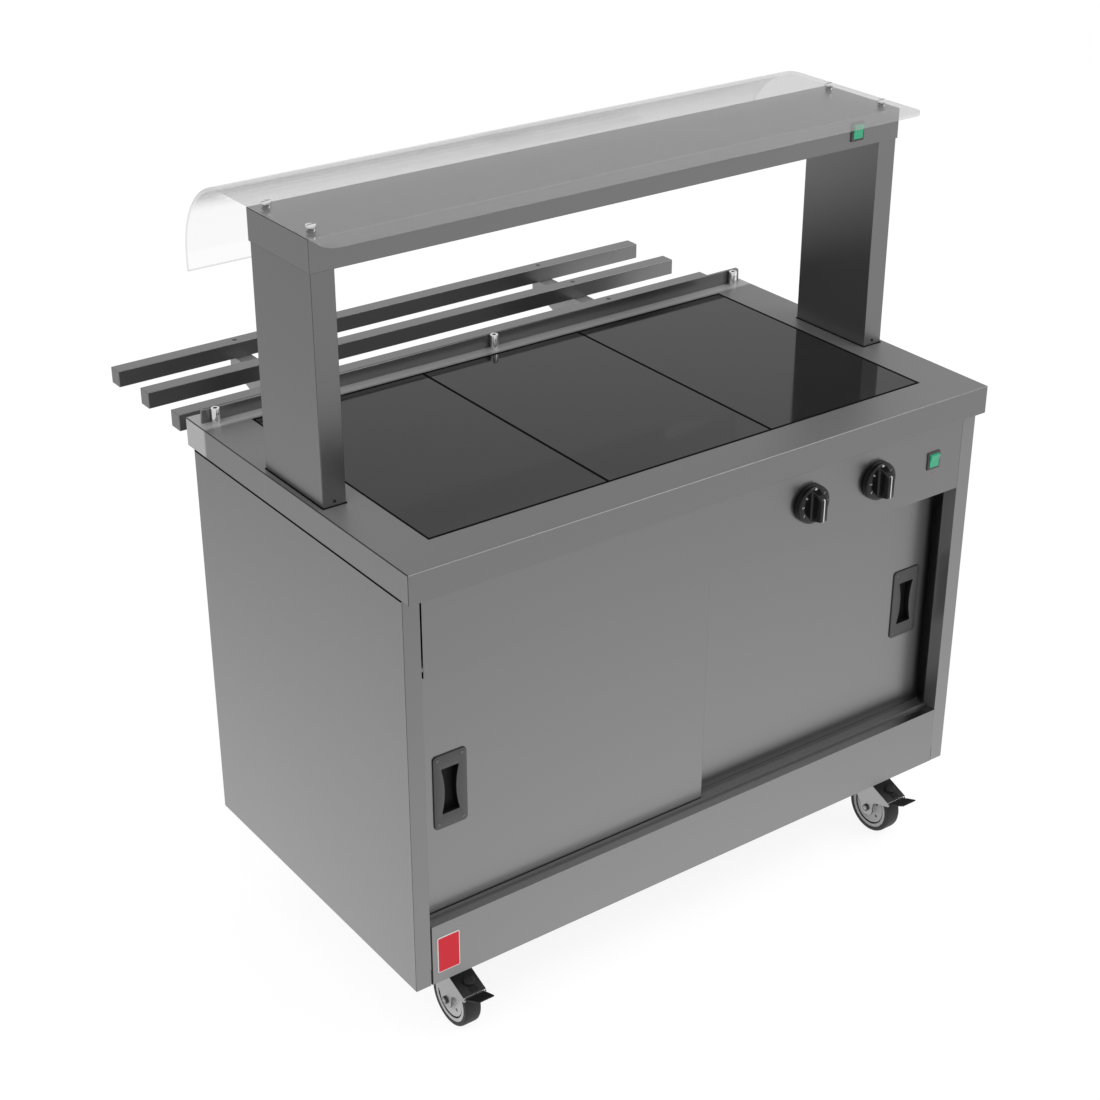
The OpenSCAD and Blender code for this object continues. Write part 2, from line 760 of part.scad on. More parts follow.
module tile_tray() color("#9c9b99") seat() difference() {
  x = hole_w / 2 + tray_wall;
  y = hole_d / 2 + tray_wall;
  bar_x(x, tile_y - y, tile_y + y, tray_top - tray_h, tray_top);
  bar_x(x - tray_t, tile_y - y + tray_t, tile_y + y - tray_t, tray_top - tray_h + tray_t, tray_top + 1);
}

// Each heater plate stands on three ribs in the tray
module tile_heaters() color("#b9b2a0") seat() for (i = [-1 : 1])
  translate([i * tile_pitch, tile_y, 0]) {
    z2 = tile_top - tile_t - heater_gap;
    bar_x(heater_w / 2, -heater_d / 2, heater_d / 2, z2 - heater_t, z2);
    for (x = [-heater_w / 3, 0, heater_w / 3])
      translate([x, 0, 0]) bar_x(5, -heater_d / 2, heater_d / 2, tray_top - tray_h + tray_t, z2);
  }

// Gantry
module gantry_post(s) {
  x = s * (post_x - post_w / 2);
  y = post_d / 2;
  difference() {
    span([x - post_w / 2, -y, top_z], [x + post_w / 2, y, hood_top - hood_t]);
    span([x - post_w / 2 + post_t, -y + post_t, top_z - 1], [x + post_w / 2 - post_t, y - post_t, hood_top]);
    rod_y(x, top_z + post_screw_rise, post_screw_r + hole_gap, -y - 1, y + 1);
  }
}

module gantry_post_left() color(steel) seat() gantry_post(-1);
module gantry_post_right() color(steel) seat() gantry_post(1);

module gantry_hood() color(steel) seat() difference() {
  bar_x(hood_x, -hood_y, hood_y, hood_z, hood_top);
  bar_x(hood_x - hood_t, -hood_y + hood_t, hood_y - hood_t, hood_z - 1, hood_top - hood_t);
  span([gantry_switch_x - cut_w / 2, -hood_y - 1, hood_z + gantry_switch_rise - cut_h / 2],
       [gantry_switch_x + cut_w / 2, -hood_y + hood_t + 1, hood_z + gantry_switch_rise + cut_h / 2]);
}

// The reflector is one folded sheet whose profile is the same along its length
module lamp_reflector() color("#c8c8c8") seat() {
  half = lamp_half;
  y1 = hood_y - hood_t;
  y2 = trough_w / 2;
  y3 = y2 + trough_slope;
  z1 = hood_z + guard_bar;
  z2 = hood_z + trough_h;
  t = reflector_t;
  side = t * 0.7;
  along_x(-half, half) polygon([
    [-y1, z1], [-y3, z1], [-y2, z2 - t], [y2, z2 - t], [y3, z1], [y1, z1], [y1, z1 + t],
    [y3 + side, z1 + t], [y2 + side, z2], [-y2 - side, z2], [-y3 - side, z1 + t], [-y1, z1 + t]]);
}

module heat_lamps() color("#e8c49a") seat() for (i = [-1 : 1]) {
  x = i * tile_pitch;
  rod_x(0, lamp_z, lamp_r, x - lamp_l / 2, x + lamp_l / 2);
  for (s = [-1, 1])
    translate([x + s * (lamp_l / 2 + 9), 0, 0])
      bar_x(10, -9, 9, lamp_z - lamp_r - 2, hood_z + trough_h - 1);
}

module lamp_guard() color(chrome) seat() {
  half = lamp_half;
  y1 = hood_y - hood_t;
  bars = floor(half / guard_pitch);
  for (i = [-1.5 : 1.5])
    translate([0, i * guard_bars_y, 0])
      bar_x(half, -guard_bar / 2, guard_bar / 2, hood_z - 1, hood_z + guard_bar - 1);
  for (i = [-bars : bars])
    translate([i * guard_pitch, 0, 0]) bar_x(guard_bar / 2, -y1, y1, hood_z, hood_z + guard_bar);
  for (s = [-1, 1])
    translate([s * (half - guard_bar / 2), 0, 0]) bar_x(guard_bar / 2, -y1, y1, hood_z, hood_z + guard_bar);
  for (i = [-1 : 1]) translate([i * tile_pitch, 0, 0]) lamp_cage();
}

// A wire cage that hangs from the outer long bars under one lamp
module lamp_cage() {
  x = (cage_l - guard_bar) / 2;
  y = guard_bars_y * 1.5;
  b = guard_bar / 2;
  z1 = hood_z - cage_drop;
  for (s = [-1, 1]) {
    bar_x(x + b, s * y - b, s * y + b, z1, z1 + guard_bar);
    for (t = [-1, 1])
      span([s * x - b, t * y - b, z1], [s * x + b, t * y + b, hood_z]);
  }
  for (i = [-1 : 0.5 : 1])
    span([i * x - b, -y, z1], [i * x + b, y, z1 + guard_bar]);
}

// A switch with its face at y = 0, and the rocker that turns in it
module switch_body() difference() {
  room = rocker_w / 2 + rocker_clear;
  union() {
    bar_x(bezel_w / 2, -bezel_t, 0, -bezel_h / 2, bezel_h / 2);
    bar_x(cut_w / 2 - 0.2, -0.5, switch_d, -cut_h / 2 + 0.2, cut_h / 2 - 0.2);
    for (x = [-6, 6]) bar_x_at(x, 1, switch_d, switch_d + 6, 0, 5);
  }
  intersection() {
    rod_x(rocker_depth, 0, rocker_r + rocker_clear, -room, room);
    bar_x(rocker_w, -20, rocker_depth + rocker_back + 2.5, -20, 20);
  }
  rod_x(rocker_depth, 0, pivot_r + running, -room - pivot_l, room + pivot_l);
}

// A square block centred on x and y
module bar_z_at(x, y, half, z1, z2) {
  span([x - half, y - half, z1], [x + half, y + half, z2]);
}

// A small box centred on x and z
module bar_x_at(x, half, y1, y2, z, half_z) {
  span([x - half, y1, z - half_z], [x + half, y2, z + half_z]);
}

module rocker() translate([0, rocker_depth, 0]) rotate([rocker_tilt, 0, 0]) {
  f = rocker_front;
  b = rocker_back;
  intersection() {
    rod_x(0, 0, rocker_r, -rocker_w / 2, rocker_w / 2);
    along_x(-rocker_w / 2, rocker_w / 2)
      polygon([[b, -20], [b, 20], [-f - 2.8, 20], [-f, 0], [-f - 2.8, -20]]);
  }
  rod_x(0, 0, pivot_r, -rocker_w / 2 - pivot_l, rocker_w / 2 + pivot_l);
}

module at_fascia_switch() seat() translate([switch_x, front_y, control_z]) children();
module at_gantry_switch() seat()
  translate([gantry_switch_x, -hood_y, hood_z + gantry_switch_rise]) children();

module fascia_switch() color(dark) at_fascia_switch() switch_body();
module gantry_switch() color(dark) at_gantry_switch() switch_body();
module fascia_rocker() color("#3fb57f") at_fascia_switch() rocker();
module gantry_rocker() color("#3fb57f") at_gantry_switch() rocker();

// Curved guard
module guard_glass() color("#dfe6e4", 0.35) seat() difference() {
  y1 = glass_back - bend_r;
  z1 = glass_z - bend_r;
  low = top_z + glass_low;
  along_x(-glass_x, glass_x) {
    translate([-glass_front, glass_z - glass_t]) square([glass_front + y1, glass_t]);
    translate([glass_back - glass_t, low]) square([glass_t, z1 - low]);
    intersection() {
      difference() {
        translate([y1, z1]) circle(r = bend_r, $fn = 96);
        translate([y1, z1]) circle(r = bend_r - glass_t, $fn = 96);
      }
      translate([y1, z1]) square(bend_r + 1);
    }
  }
  for (sx = [-1, 1], sy = [-1, 1])
    translate([sx * cap_x, sy * cap_y, glass_z - glass_t - 1]) cylinder(r = shank_r + 1, h = glass_t + 2);
  for (s = [-1, 1])
    translate([s * (glass_x - glass_corner), glass_corner - glass_front, glass_z - glass_t - 1])
      mirror([(1 - s) / 2, 0, 0]) difference() {
        translate([0, -glass_corner - 1, 0]) cube([glass_corner + 1, glass_corner + 1, glass_t + 2]);
        translate([0, 0, -1]) cylinder(r = glass_corner, h = glass_t + 4, $fn = 96);
      }
}

module guard_caps() color(chrome) seat() for (sx = [-1, 1], sy = [-1, 1])
  translate([sx * cap_x, sy * cap_y, 0]) {
    translate([0, 0, glass_z]) rotate_extrude()
      polygon([[0, 0], [cap_r, 0], [cap_r, cap_h - 1], [cap_r - 1, cap_h], [0, cap_h]]);
    translate([0, 0, hood_top]) cylinder(r = shank_r, h = glass_z - hood_top + 1);
    translate([0, 0, hood_top]) cylinder(r = washer_r, h = washer_t);
  }

// Plate rail
module plate_rail() color(steel) seat() {
  y2 = plate_rail_y + plate_rail_t;
  z2 = top_z + plate_rail_h;
  bar_x(plate_rail_x - plate_rail_r, plate_rail_y, y2, top_z, z2);
  bar_x(plate_rail_x, plate_rail_y, y2, top_z, z2 - plate_rail_r);
  for (s = [-1, 1])
    rod_y(s * (plate_rail_x - plate_rail_r), z2 - plate_rail_r, plate_rail_r, plate_rail_y, y2);
}

module plate_rail_posts() color(chrome) seat() for (i = [-1 : 1])
  translate([i * rail_post_x, plate_rail_y - rail_post_r, top_z]) rotate_extrude()
    polygon([[0, 0], [rail_post_r, 0], [rail_post_r, plate_rail_h - 1], [rail_post_r - 1, plate_rail_h],
             [0, plate_rail_h]]);

// Tray slide
module tray_rail(i) {
  y = rail_y1 + i * rail_pitch;
  x = tray_rail_x;
  top = rail_z + rail_s;
  difference() {
    bar_x(x, y, y + rail_s, rail_z, top);
    bar_x(x - rail_t, y + rail_t, y + rail_s - rail_t, rail_z + rail_t, top - rail_t);
    for (s = [-1, 1]) {
      translate([s * (x - 20), y + rail_s / 2, rail_z - 1]) cylinder(r = 3, h = rail_t + 2);
      translate([s * bracket_x, y + rail_s / 2, 0]) {
        translate([0, 0, rail_z - 1]) cylinder(r = screw_r + hole_gap, h = rail_s);
        translate([0, 0, top - rail_t]) sunk_head(hole_gap, rail_t + 1);
      }
    }
  }
}

module tray_rail_inner() color(steel) seat() tray_rail(0);
module tray_rail_middle() color(steel) seat() tray_rail(1);
module tray_rail_outer() color(steel) seat() tray_rail(2);

// A sunk screw head that widens upwards, or its seat with some play
module sunk_head(play, h) {
  widening = (screw_head_r - screw_r) / (rail_t - sunk_drop);
  cylinder(r1 = screw_r + play, r2 = screw_r + play + widening * h, h = h);
}

// Each bracket is a channel with two tapering webs and a plate against the back panel
module tray_brackets() color(steel) seat() for (s = [-1, 1]) difference() {
  x = s * bracket_x + bracket_shift;
  y2 = slide_end - 6;
  step_y = top_d / 2 + 3;
  low_z = body_top - 2;
  half = bracket_w / 2;
  union() {
    for (w = [-half, half - bracket_t])
      along_x(x + w, x + w + bracket_t) polygon([
        [back_y, low_z], [step_y, low_z], [step_y, rail_z], [y2, rail_z],
        [y2, rail_z - bracket_tip], [back_y, low_z - bracket_root]]);
    span([x - half, step_y, rail_z - bracket_t], [x + half, y2, rail_z]);
    span([x - half, back_y, low_z - bracket_root], [x + half, back_y + bracket_t, low_z]);
  }
  for (i = [0 : 2])
    translate([s * bracket_x, rail_y1 + i * rail_pitch + rail_s / 2, rail_z - bracket_t - 1])
      cylinder(r = screw_r + hole_gap, h = bracket_t + 2);
}

// Bolts and screws
module bolts_and_screws() color(chrome) {
  seat() for (s = [-1, 1]) {
    for (i = [0 : 2]) translate([s * bracket_x, rail_y1 + i * rail_pitch + rail_s / 2, 0]) {
      translate([0, 0, rail_z - bracket_t - 2]) cylinder(r = screw_r, h = rail_s + bracket_t + 1);
      translate([0, 0, rail_z + rail_s - rail_t]) sunk_head(0, rail_t - sunk_drop);
    }
    x = s * (post_x - post_w / 2);
    for (t = [-1, 1]) translate([x, t * post_d / 2, top_z + post_screw_rise]) rotate([t * -90, 0, 0]) {
      translate([0, 0, -post_t - 3]) cylinder(r = post_screw_r, h = post_t + 4);
      cylinder(r = post_head_r, h = screw_head_h);
    }
  }
  for (sx = [-1, 1], sy = [-1, 1]) at_castor(sx, sy) {
    bolts(bolt_r, plate_z - 1, castor_h + corner_t + 6);
    for (x = [-bolt_x, bolt_x], y = [-bolt_y, bolt_y], z = [plate_z - 4, castor_h + corner_t])
      translate([x, y, z]) cylinder(r = bolt_r * 1.7, h = 4, $fn = 6);
  }
}

// Doors
module door(s, y) difference() {
  x1 = min(-s * door_overlap / 2, s * door_far);
  x2 = max(-s * door_overlap / 2, s * door_far);
  t = door_skin;
  room = cup_wall + 0.3;
  span([x1, y, door_low], [x2, y + door_t, door_high]);
  span([x1 + t, y + t, door_low + t], [x2 - t, y + door_t - t, door_high - t]);
  for (x = [x1 + 60, x2 - 60]) translate([x, y + door_t / 2, door_low - 1]) cylinder(r = 3, h = 3);
  translate([s * handle_x, 0, handle_z])
    bar_x(recess_w / 2 + room, y - 1, y + t + 1, -recess_h / 2 - room, recess_h / 2 + room);
}

// The recess narrows to a waist halfway up, on both sides alike
module handle_recess(y1, y2) {
  w = recess_w / 2;
  waist = recess_waist / 2;
  n = 12;
  side = [for (i = [0 : n]) let (t = 2 * i / n - 1) [waist + (w - waist) * t * t, t * recess_h / 2]];
  other = [for (i = [n : -1 : 0]) [-side[i][0], side[i][1]]];
  translate([0, y2, 0]) rotate([90, 0, 0]) linear_extrude(y2 - y1) polygon(concat(side, other));
}

module handle(s, y) translate([s * handle_x, y, handle_z]) difference() {
  union() {
    round_plate(handle_w, handle_h, handle_r, -handle_proud, 0);
    bar_x(recess_w / 2 + cup_wall, -0.1, cup_depth, -recess_h / 2 - cup_wall, recess_h / 2 + cup_wall);
  }
  handle_recess(-handle_proud - 1, cup_depth - cup_wall);
}

module door_left() color(steel) seat() door(-1, door_y1);
module door_right() color(steel) seat() door(1, door_y2);
module door_left_handle() color(dark) seat() handle(-1, door_y1);
module door_right_handle() color(dark) seat() handle(1, door_y2);

// A dial on its spindle, facing the front, with its middle at the origin
module dial() {
  difference() {
    union() {
      rotate([90, 0, 0]) rotate_extrude($fn = 64)
        polygon([[0, dial_gap], [dial_r, dial_gap], [dial_r, skirt_t - 3],
                 [dial_r - 2.5, skirt_t], [0, skirt_t]]);
      along_x(-grip_w / 2, grip_w / 2) polygon([
        [-skirt_t + 2, dial_r - 4.5], [-skirt_t, dial_r - 5.8], [-dial_reach, dial_r * 0.52],
        [-dial_reach, -dial_r * 0.63], [-skirt_t, -dial_r * 0.8], [-skirt_t + 2, -dial_r * 0.8]]);
    }
    rod_y(0, 0, 9, -4, 0);
  }
  rod_y(0, 0, spindle_r, -5, skin + stat_d - 12);
}

module dial_left() color(dark) seat() translate([dial_x, front_y, control_z]) dial();
module dial_right() color(dark) seat() translate([dial_x + dial_pitch, front_y, control_z]) dial();

// Castors; each is drawn round its swivel axis and trails towards the front
module at_castor(sx, sy) seat() translate([sx * castor_x, sy * castor_y, 0]) children();

module castor_plate() difference() {
  union() {
    translate([0, 0, plate_z + plate_t / 2]) cube([castor_plate_x, castor_plate_y, plate_t], center = true);
    translate([0, 0, plate_z - race_t]) cylinder(r = race_r, h = race_t + 0.5);
  }
  translate([0, 0, plate_z - race_t - 1]) cylinder(r = king_r + running, h = race_t + plate_t + 2);
  bolts(bolt_r + hole_gap, plate_z - 1, castor_h + 1);
}

module castor_plates() color("#a9a9a9") for (sx = [-1, 1], sy = [-1, 1]) at_castor(sx, sy) castor_plate();

module fork() {
  front = -trail - leg_reach;
  cover_y = -trail - cover_reach;
  cover_z = wheel_r + cover_rise;
  cover_top = cover_z + cover_climb;
  head_low = fork_top - head_t;
  difference() {
    union() {
      translate([0, 0, head_low]) cylinder(r = race_r + 2, h = head_t);
      translate([0, 0, fork_top - 1]) cylinder(r = king_r, h = race_t + plate_t);
      for (x = [-fork_x, leg_x]) {
        along_x(x, x + leg_t) polygon([
          [22, fork_top - 1], [-24, fork_top - 1], [-trail - 1, cover_top], [front, wheel_r + leg_rise],
          [front, wheel_r + leg_rise - 7], [front + 13, wheel_r + 26.5], [-trail - 21, wheel_r + 20],
          [-trail - 15.5, wheel_r + 14], [-trail - 14, wheel_r + 5],
          [-trail, wheel_r - boss_r], [-trail + 14, wheel_r - 6], [-trail + 52, wheel_r + 48]]);
        rod_x(-trail, wheel_r, boss_r, x, x + leg_t);
      }
      along_x(-fork_x, fork_x) polygon([
        [cover_y, cover_z], [cover_y, cover_z - cover_t], [-trail - 1, cover_top - cover_t],
        [-24, head_low + 1], [-24, head_low + 3], [-trail - 2, cover_top]]);
    }
    rod_x(pedal_y, pedal_z, pedal_pin_r + running, -fork_x - 1, fork_x + 1);
  }
  rod_x(-trail, wheel_r, axle_r, -fork_x - nut_t, fork_x + nut_t);
  for (x = [-fork_x - nut_t, fork_x])
    translate([x, -trail, wheel_r]) rotate([0, 90, 0]) cylinder(r = nut_r, h = nut_t, $fn = 6);
}

// Turns a profile of radius against x about the wheel's axle
module turned() translate([0, -trail, wheel_r]) rotate([0, 90, 0]) rotate_extrude($fn = 64) children();

module hub() {
  b = axle_r + running;
  rim_w = tyre_w / 2 - 1;
  disc_w = rim_w - 1.5;
  groove_w = disc_w - 4;
  half = [
    [b, hub_l / 2], [12, hub_l / 2], [13, disc_w], [rim_r - 8.5, disc_w], [rim_r - 8.5, groove_w],
    [rim_r - 6, groove_w], [rim_r - 6, rim_w], [rim_r, rim_w]];
  turned() polygon(concat(half, [for (i = [7 : -1 : 0]) [half[i][0], -half[i][1]]]));
}

module tyre() {
  w = tyre_w / 2;
  turned() polygon([
    [rim_r, -w], [wheel_r - 3, -w], [wheel_r - 0.9, -w + 1.4], [wheel_r, -w + 4],
    [wheel_r, w - 4], [wheel_r - 0.9, w - 1.4], [wheel_r - 3, w], [rim_r, w]]);
}

module pedal() {
  x = leg_x - 0.5;
  y = pedal_y;
  z = pedal_z;
  along_x(-x, x) polygon([
    [y + 1, z + 3], [y - 5, z + 2], [y - 8.5, z + 1], [y - pedal_l, z + 15.5], [y - pedal_l, z + 12.5],
    [y - 8, z - 3.4], [y, z - 3.4]]);
  rod_x(y, z, pedal_hub, -x, x);
  rod_x(y, z, pedal_pin_r, -fork_x, fork_x);
}

module fork_front_left() color("#a9a9a9") at_castor(-1, -1) fork();
module fork_front_right() color("#a9a9a9") at_castor(1, -1) fork();
module fork_rear_left() color("#a9a9a9") at_castor(-1, 1) fork();
module fork_rear_right() color("#a9a9a9") at_castor(1, 1) fork();
module hub_front_left() color("#b4b4b4") at_castor(-1, -1) hub();
module hub_front_right() color("#b4b4b4") at_castor(1, -1) hub();
module hub_rear_left() color("#b4b4b4") at_castor(-1, 1) hub();
module hub_rear_right() color("#b4b4b4") at_castor(1, 1) hub();
module tyre_front_left() color("#3c3c3c") at_castor(-1, -1) tyre();
module tyre_front_right() color("#3c3c3c") at_castor(1, -1) tyre();
module tyre_rear_left() color("#3c3c3c") at_castor(-1, 1) tyre();
module tyre_rear_right() color("#3c3c3c") at_castor(1, 1) tyre();
module brake_pedal_left() color("#1c1c1c") at_castor(-1, -1) pedal();
module brake_pedal_right() color("#1c1c1c") at_castor(1, -1) pedal();

base_frame();
side_panel_left();
side_panel_right();
back_panel();
plinth();
inner_liner();
shelf();
door_track_top();
door_track_bottom();
fascia();
thermostats();
fascia_switch();
worktop();
hot_tile_left();
hot_tile_middle();
hot_tile_right();
tile_tray();
tile_heaters();
cupboard_element();
gantry_post_left();
gantry_post_right();
gantry_hood();
lamp_reflector();
heat_lamps();
lamp_guard();
gantry_switch();
guard_glass();
guard_caps();
plate_rail();
plate_rail_posts();
tray_rail_inner();
tray_rail_middle();
tray_rail_outer();
tray_brackets();
badge_plate();
cable_gland();
bolts_and_screws();
castor_plates();
door_left();
door_left_handle();
door_right();
door_right_handle();
dial_left();
dial_right();
fascia_rocker();
gantry_rocker();
fork_front_left();
fork_front_right();
fork_rear_left();
fork_rear_right();
hub_front_left();
hub_front_right();
hub_rear_left();
hub_rear_right();
tyre_front_left();
tyre_front_right();
tyre_rear_left();
tyre_rear_right();
brake_pedal_left();
brake_pedal_right();
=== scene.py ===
import math

import bmesh
import bpy
import numpy as np
from mathutils import Matrix, Vector


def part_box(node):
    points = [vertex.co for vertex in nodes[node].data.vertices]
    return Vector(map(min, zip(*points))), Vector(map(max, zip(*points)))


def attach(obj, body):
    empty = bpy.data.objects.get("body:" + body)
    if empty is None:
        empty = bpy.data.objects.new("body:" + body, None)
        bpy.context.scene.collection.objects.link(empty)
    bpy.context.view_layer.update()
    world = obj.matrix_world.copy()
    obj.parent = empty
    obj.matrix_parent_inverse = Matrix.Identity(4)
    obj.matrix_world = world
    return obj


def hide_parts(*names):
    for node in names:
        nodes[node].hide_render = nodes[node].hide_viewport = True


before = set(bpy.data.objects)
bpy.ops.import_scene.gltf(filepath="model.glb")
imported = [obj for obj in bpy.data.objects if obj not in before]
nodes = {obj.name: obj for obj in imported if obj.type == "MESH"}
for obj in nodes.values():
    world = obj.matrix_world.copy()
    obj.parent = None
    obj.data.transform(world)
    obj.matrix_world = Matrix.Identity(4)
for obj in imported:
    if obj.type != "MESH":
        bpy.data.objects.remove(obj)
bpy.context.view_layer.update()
mm = 0.001
print("frame loaded:", len(nodes), "nodes")

# Camera: found from the straight edges in the photograph
cameraSetup = {
    "place": (-1.9326, -2.6950, 2.2893),
    "forward": (0.5193, 0.7184, -0.4627),
    "lens": 68.17,
    "sensor": 36.0,
}


def addObject(name, data):
    thing = bpy.data.objects.new(name, data)
    bpy.context.scene.collection.objects.link(thing)
    return thing


def aimed(place, direction):
    return Matrix.Translation(place) @ direction.to_track_quat("-Z", "Y").to_matrix().to_4x4()


def makeCamera(setup):
    data = bpy.data.cameras.new("camera")
    data.lens = setup["lens"]
    data.sensor_width = setup["sensor"]
    data.clip_end = 200.0
    camera = addObject("camera", data)
    camera.matrix_world = aimed(setup["place"], Vector(setup["forward"]).normalized())
    bpy.context.scene.camera = camera


makeCamera(cameraSetup)
bpy.context.scene.view_settings.view_transform = "Standard"
print("camera placed")


# Shader maths: a socket that adds its own Math nodes
class Value:
    def __init__(self, paint, socket):
        self.paint = paint
        self.socket = socket

    def math(self, operation, other=None, swapped=False):
        first, second = (other, self) if swapped else (self, other)
        inputs = {0: first} if second is None else {0: first, 1: second}
        return self.paint.add("ShaderNodeMath", {"operation": operation}, inputs)

    def __add__(self, other):
        return self.math("ADD", other)

    def __radd__(self, other):
        return self.math("ADD", other, True)

    def __sub__(self, other):
        return self.math("SUBTRACT", other)

    def __rsub__(self, other):
        return self.math("SUBTRACT", other, True)

    def __mul__(self, other):
        return self.math("MULTIPLY", other)

    def __rmul__(self, other):
        return self.math("MULTIPLY", other, True)

    def __truediv__(self, other):
        return self.math("DIVIDE", other)

    def __rtruediv__(self, other):
        return self.math("DIVIDE", other, True)

    def clamped(self):
        return self.math("MAXIMUM", 0.0).math("MINIMUM", 1.0)


class Paint:
    # A material with one method that adds any node
    def __init__(self, name):
        self.material = bpy.data.materials.new(name)
        self.material.use_nodes = True
        self.tree = self.material.node_tree
        self.tree.nodes.clear()
        self.output = self.tree.nodes.new("ShaderNodeOutputMaterial")

    def add(self, kind, settings=None, inputs=None, out=0):
        node = self.tree.nodes.new(kind)
        for key, setting in (settings or {}).items():
            setattr(node, key, setting)
        for key, given in (inputs or {}).items():
            if isinstance(given, Value):
                self.tree.links.new(given.socket, node.inputs[key])
            else:
                node.inputs[key].default_value = given
        return Value(self, node.outputs[out])

    def coords(self, scale=(1.0, 1.0, 1.0)):
        spot = self.add("ShaderNodeTexCoord", out="Object")
        return self.add("ShaderNodeVectorMath", {"operation": "MULTIPLY"}, {0: spot, 1: scale})

    def noise(self, scale, detail):
        inputs = {"Vector": self.coords(scale), "Scale": 1.0, "Detail": detail}
        return self.add("ShaderNodeTexNoise", inputs=inputs)

    def blend(self, factor, first, second):
        inputs = {"Factor": factor, 6: grey(first), 7: grey(second)}
        return self.add("ShaderNodeMix", {"data_type": "RGBA"}, inputs, out=2)

    def bump(self, height, strength, distance):
        return self.add("ShaderNodeBump", inputs={"Height": height, "Strength": strength, "Distance": distance})

    def principled(self, inputs):
        return self.add("ShaderNodeBsdfPrincipled", inputs=inputs)

    def show(self, shader):
        self.tree.links.new(shader.socket, self.output.inputs["Surface"])
        return self.material


def grey(tone):
    if isinstance(tone, (int, float)):
        return (tone, tone, tone, 1.0)
    return tone


def scaled(tone, share):
    return tuple(c * share for c in grey(tone)[:3]) + (1.0,)


# Finishes
steelLook = {
    "grain": 700.0,  # brush lines per metre across the grain
    "drawn": 2.0,  # changes per metre along the grain
    "smudge": 2.2,  # soft patches per metre
    "lineShare": 0.6,  # brush lines in the colour; the rest is patches
    "contrast": 0.025,
    "lineRough": 0.03,
    "patchRough": 0.04,
    "bumpShare": 0.1,
    "bumpDepth": 0.00001,
    # painted light on the worktop's strip behind the tiles: less mirror, paler, and how fast it sets in per
    # metre
    "paintedLightMetal": 0.15,
    "paintedLightTone": 0.42,
    "paintedLightRise": 120.0,
}
axisOf = {"x": 0, "y": 1, "z": 2}


def brushedSteel(name, along, tone, rough, metal=1.0, paintedLightFrom=None):
    paint = Paint(name)
    stretch = [steelLook["grain"]] * 3
    stretch[axisOf[along]] = steelLook["drawn"]
    lines = paint.noise(stretch, 2.0)
    patches = paint.noise([steelLook["smudge"]] * 3, 1.0)
    share = steelLook["lineShare"]
    mixed = (lines * share + patches * (1 - share)).clamped()
    low = tone * (1 - steelLook["contrast"])
    high = tone * (1 + steelLook["contrast"])
    colour = paint.blend(mixed, low, high)
    roughness = (lines - 0.5) * steelLook["lineRough"] + (patches - 0.5) * steelLook["patchRough"] + rough
    normal = paint.bump(lines, steelLook["bumpShare"], steelLook["bumpDepth"])
    if paintedLightFrom:
        # painted light: the strip behind this depth is paler and less of a mirror
        depth = paint.add("ShaderNodeSeparateXYZ", inputs={0: paint.coords()}, out="Y")
        paintedLight = ((depth - paintedLightFrom) * steelLook["paintedLightRise"]).clamped()
        metal = paintedLight * (steelLook["paintedLightMetal"] - metal) + metal
        colour = paint.blend(paintedLight, colour, steelLook["paintedLightTone"])
    return paint.show(paint.principled({
        "Base Color": colour, "Metallic": metal, "Roughness": roughness, "Normal": normal}))


castLook = {
    "cloud": 18.0,  # soft patches per metre
    "roughSpread": 0.1,
    "bumpShare": 0.3,
}


def cast(name, tone, rough, metallic=0.0, fine=900.0, spread=0.12, depth=0.00003, shine=0.5):
    # A moulded, plated or coated finish: fine grain in the colour, gloss and surface
    paint = Paint(name)
    grain = paint.noise([fine] * 3, 2.0)
    cloud = paint.noise([castLook["cloud"]] * 3, 2.0)
    mixed = (grain * 0.5 + cloud * 0.5).clamped()
    return paint.show(paint.principled({
        "Base Color": paint.blend(mixed, scaled(tone, 1 - spread), scaled(tone, 1 + spread)),
        "Metallic": metallic,
        "Specular IOR Level": shine,
        "Roughness": (grain - 0.5) * castLook["roughSpread"] + (cloud - 0.5) * castLook["roughSpread"] + rough,
        "Normal": paint.bump(grain, castLook["bumpShare"], depth),
    }))


tileLook = {
    "specks": 1500.0,
    "wipes": (9.0, 3.0, 9.0),  # wiping marks per metre
    "tones": (0.004, 0.008),
    "rough": 0.05,
    "wipeRough": 0.05,
    "refraction": 1.35,
}


def polishedTile(name, look):
    paint = Paint(name)
    specks = paint.noise([look["specks"]] * 3, 1.0)
    wiped = paint.noise(look["wipes"], 3.0)
    return paint.show(paint.principled({
        "Base Color": paint.blend(specks, *look["tones"]),
        "Roughness": wiped * look["wipeRough"] + look["rough"],
        "IOR": look["refraction"],
    }))


glassLook = {
    "marks": 6.0,  # wiping marks per metre
    "marksShine": 0.01,
    "most": 0.85,  # largest share of mirror
    "rough": 0.04,
    "marksRough": 0.02,
}


def clearSheet(name, reflects, rise, start, least):
    # See-through face on, and more of a mirror towards glancing angles: rise times facing less start
    look = glassLook
    paint = Paint(name)
    facing = paint.add("ShaderNodeLayerWeight", inputs={"Blend": 0.5}, out="Facing")
    marks = paint.noise([look["marks"]] * 3, 2.0)
    amount = facing * rise - start + (marks - 0.5) * look["marksShine"]
    amount = amount.math("MAXIMUM", least).math("MINIMUM", look["most"])
    through = paint.add("ShaderNodeBsdfTransparent", inputs={"Color": (1.0, 1.0, 1.0, 1.0)})
    mirror = paint.principled({"Base Color": grey(reflects), "Metallic": 1.0,
                               "Roughness": marks * look["marksRough"] + look["rough"]})
    return paint.show(paint.add("ShaderNodeMixShader", inputs={0: amount, 1: through, 2: mirror}))


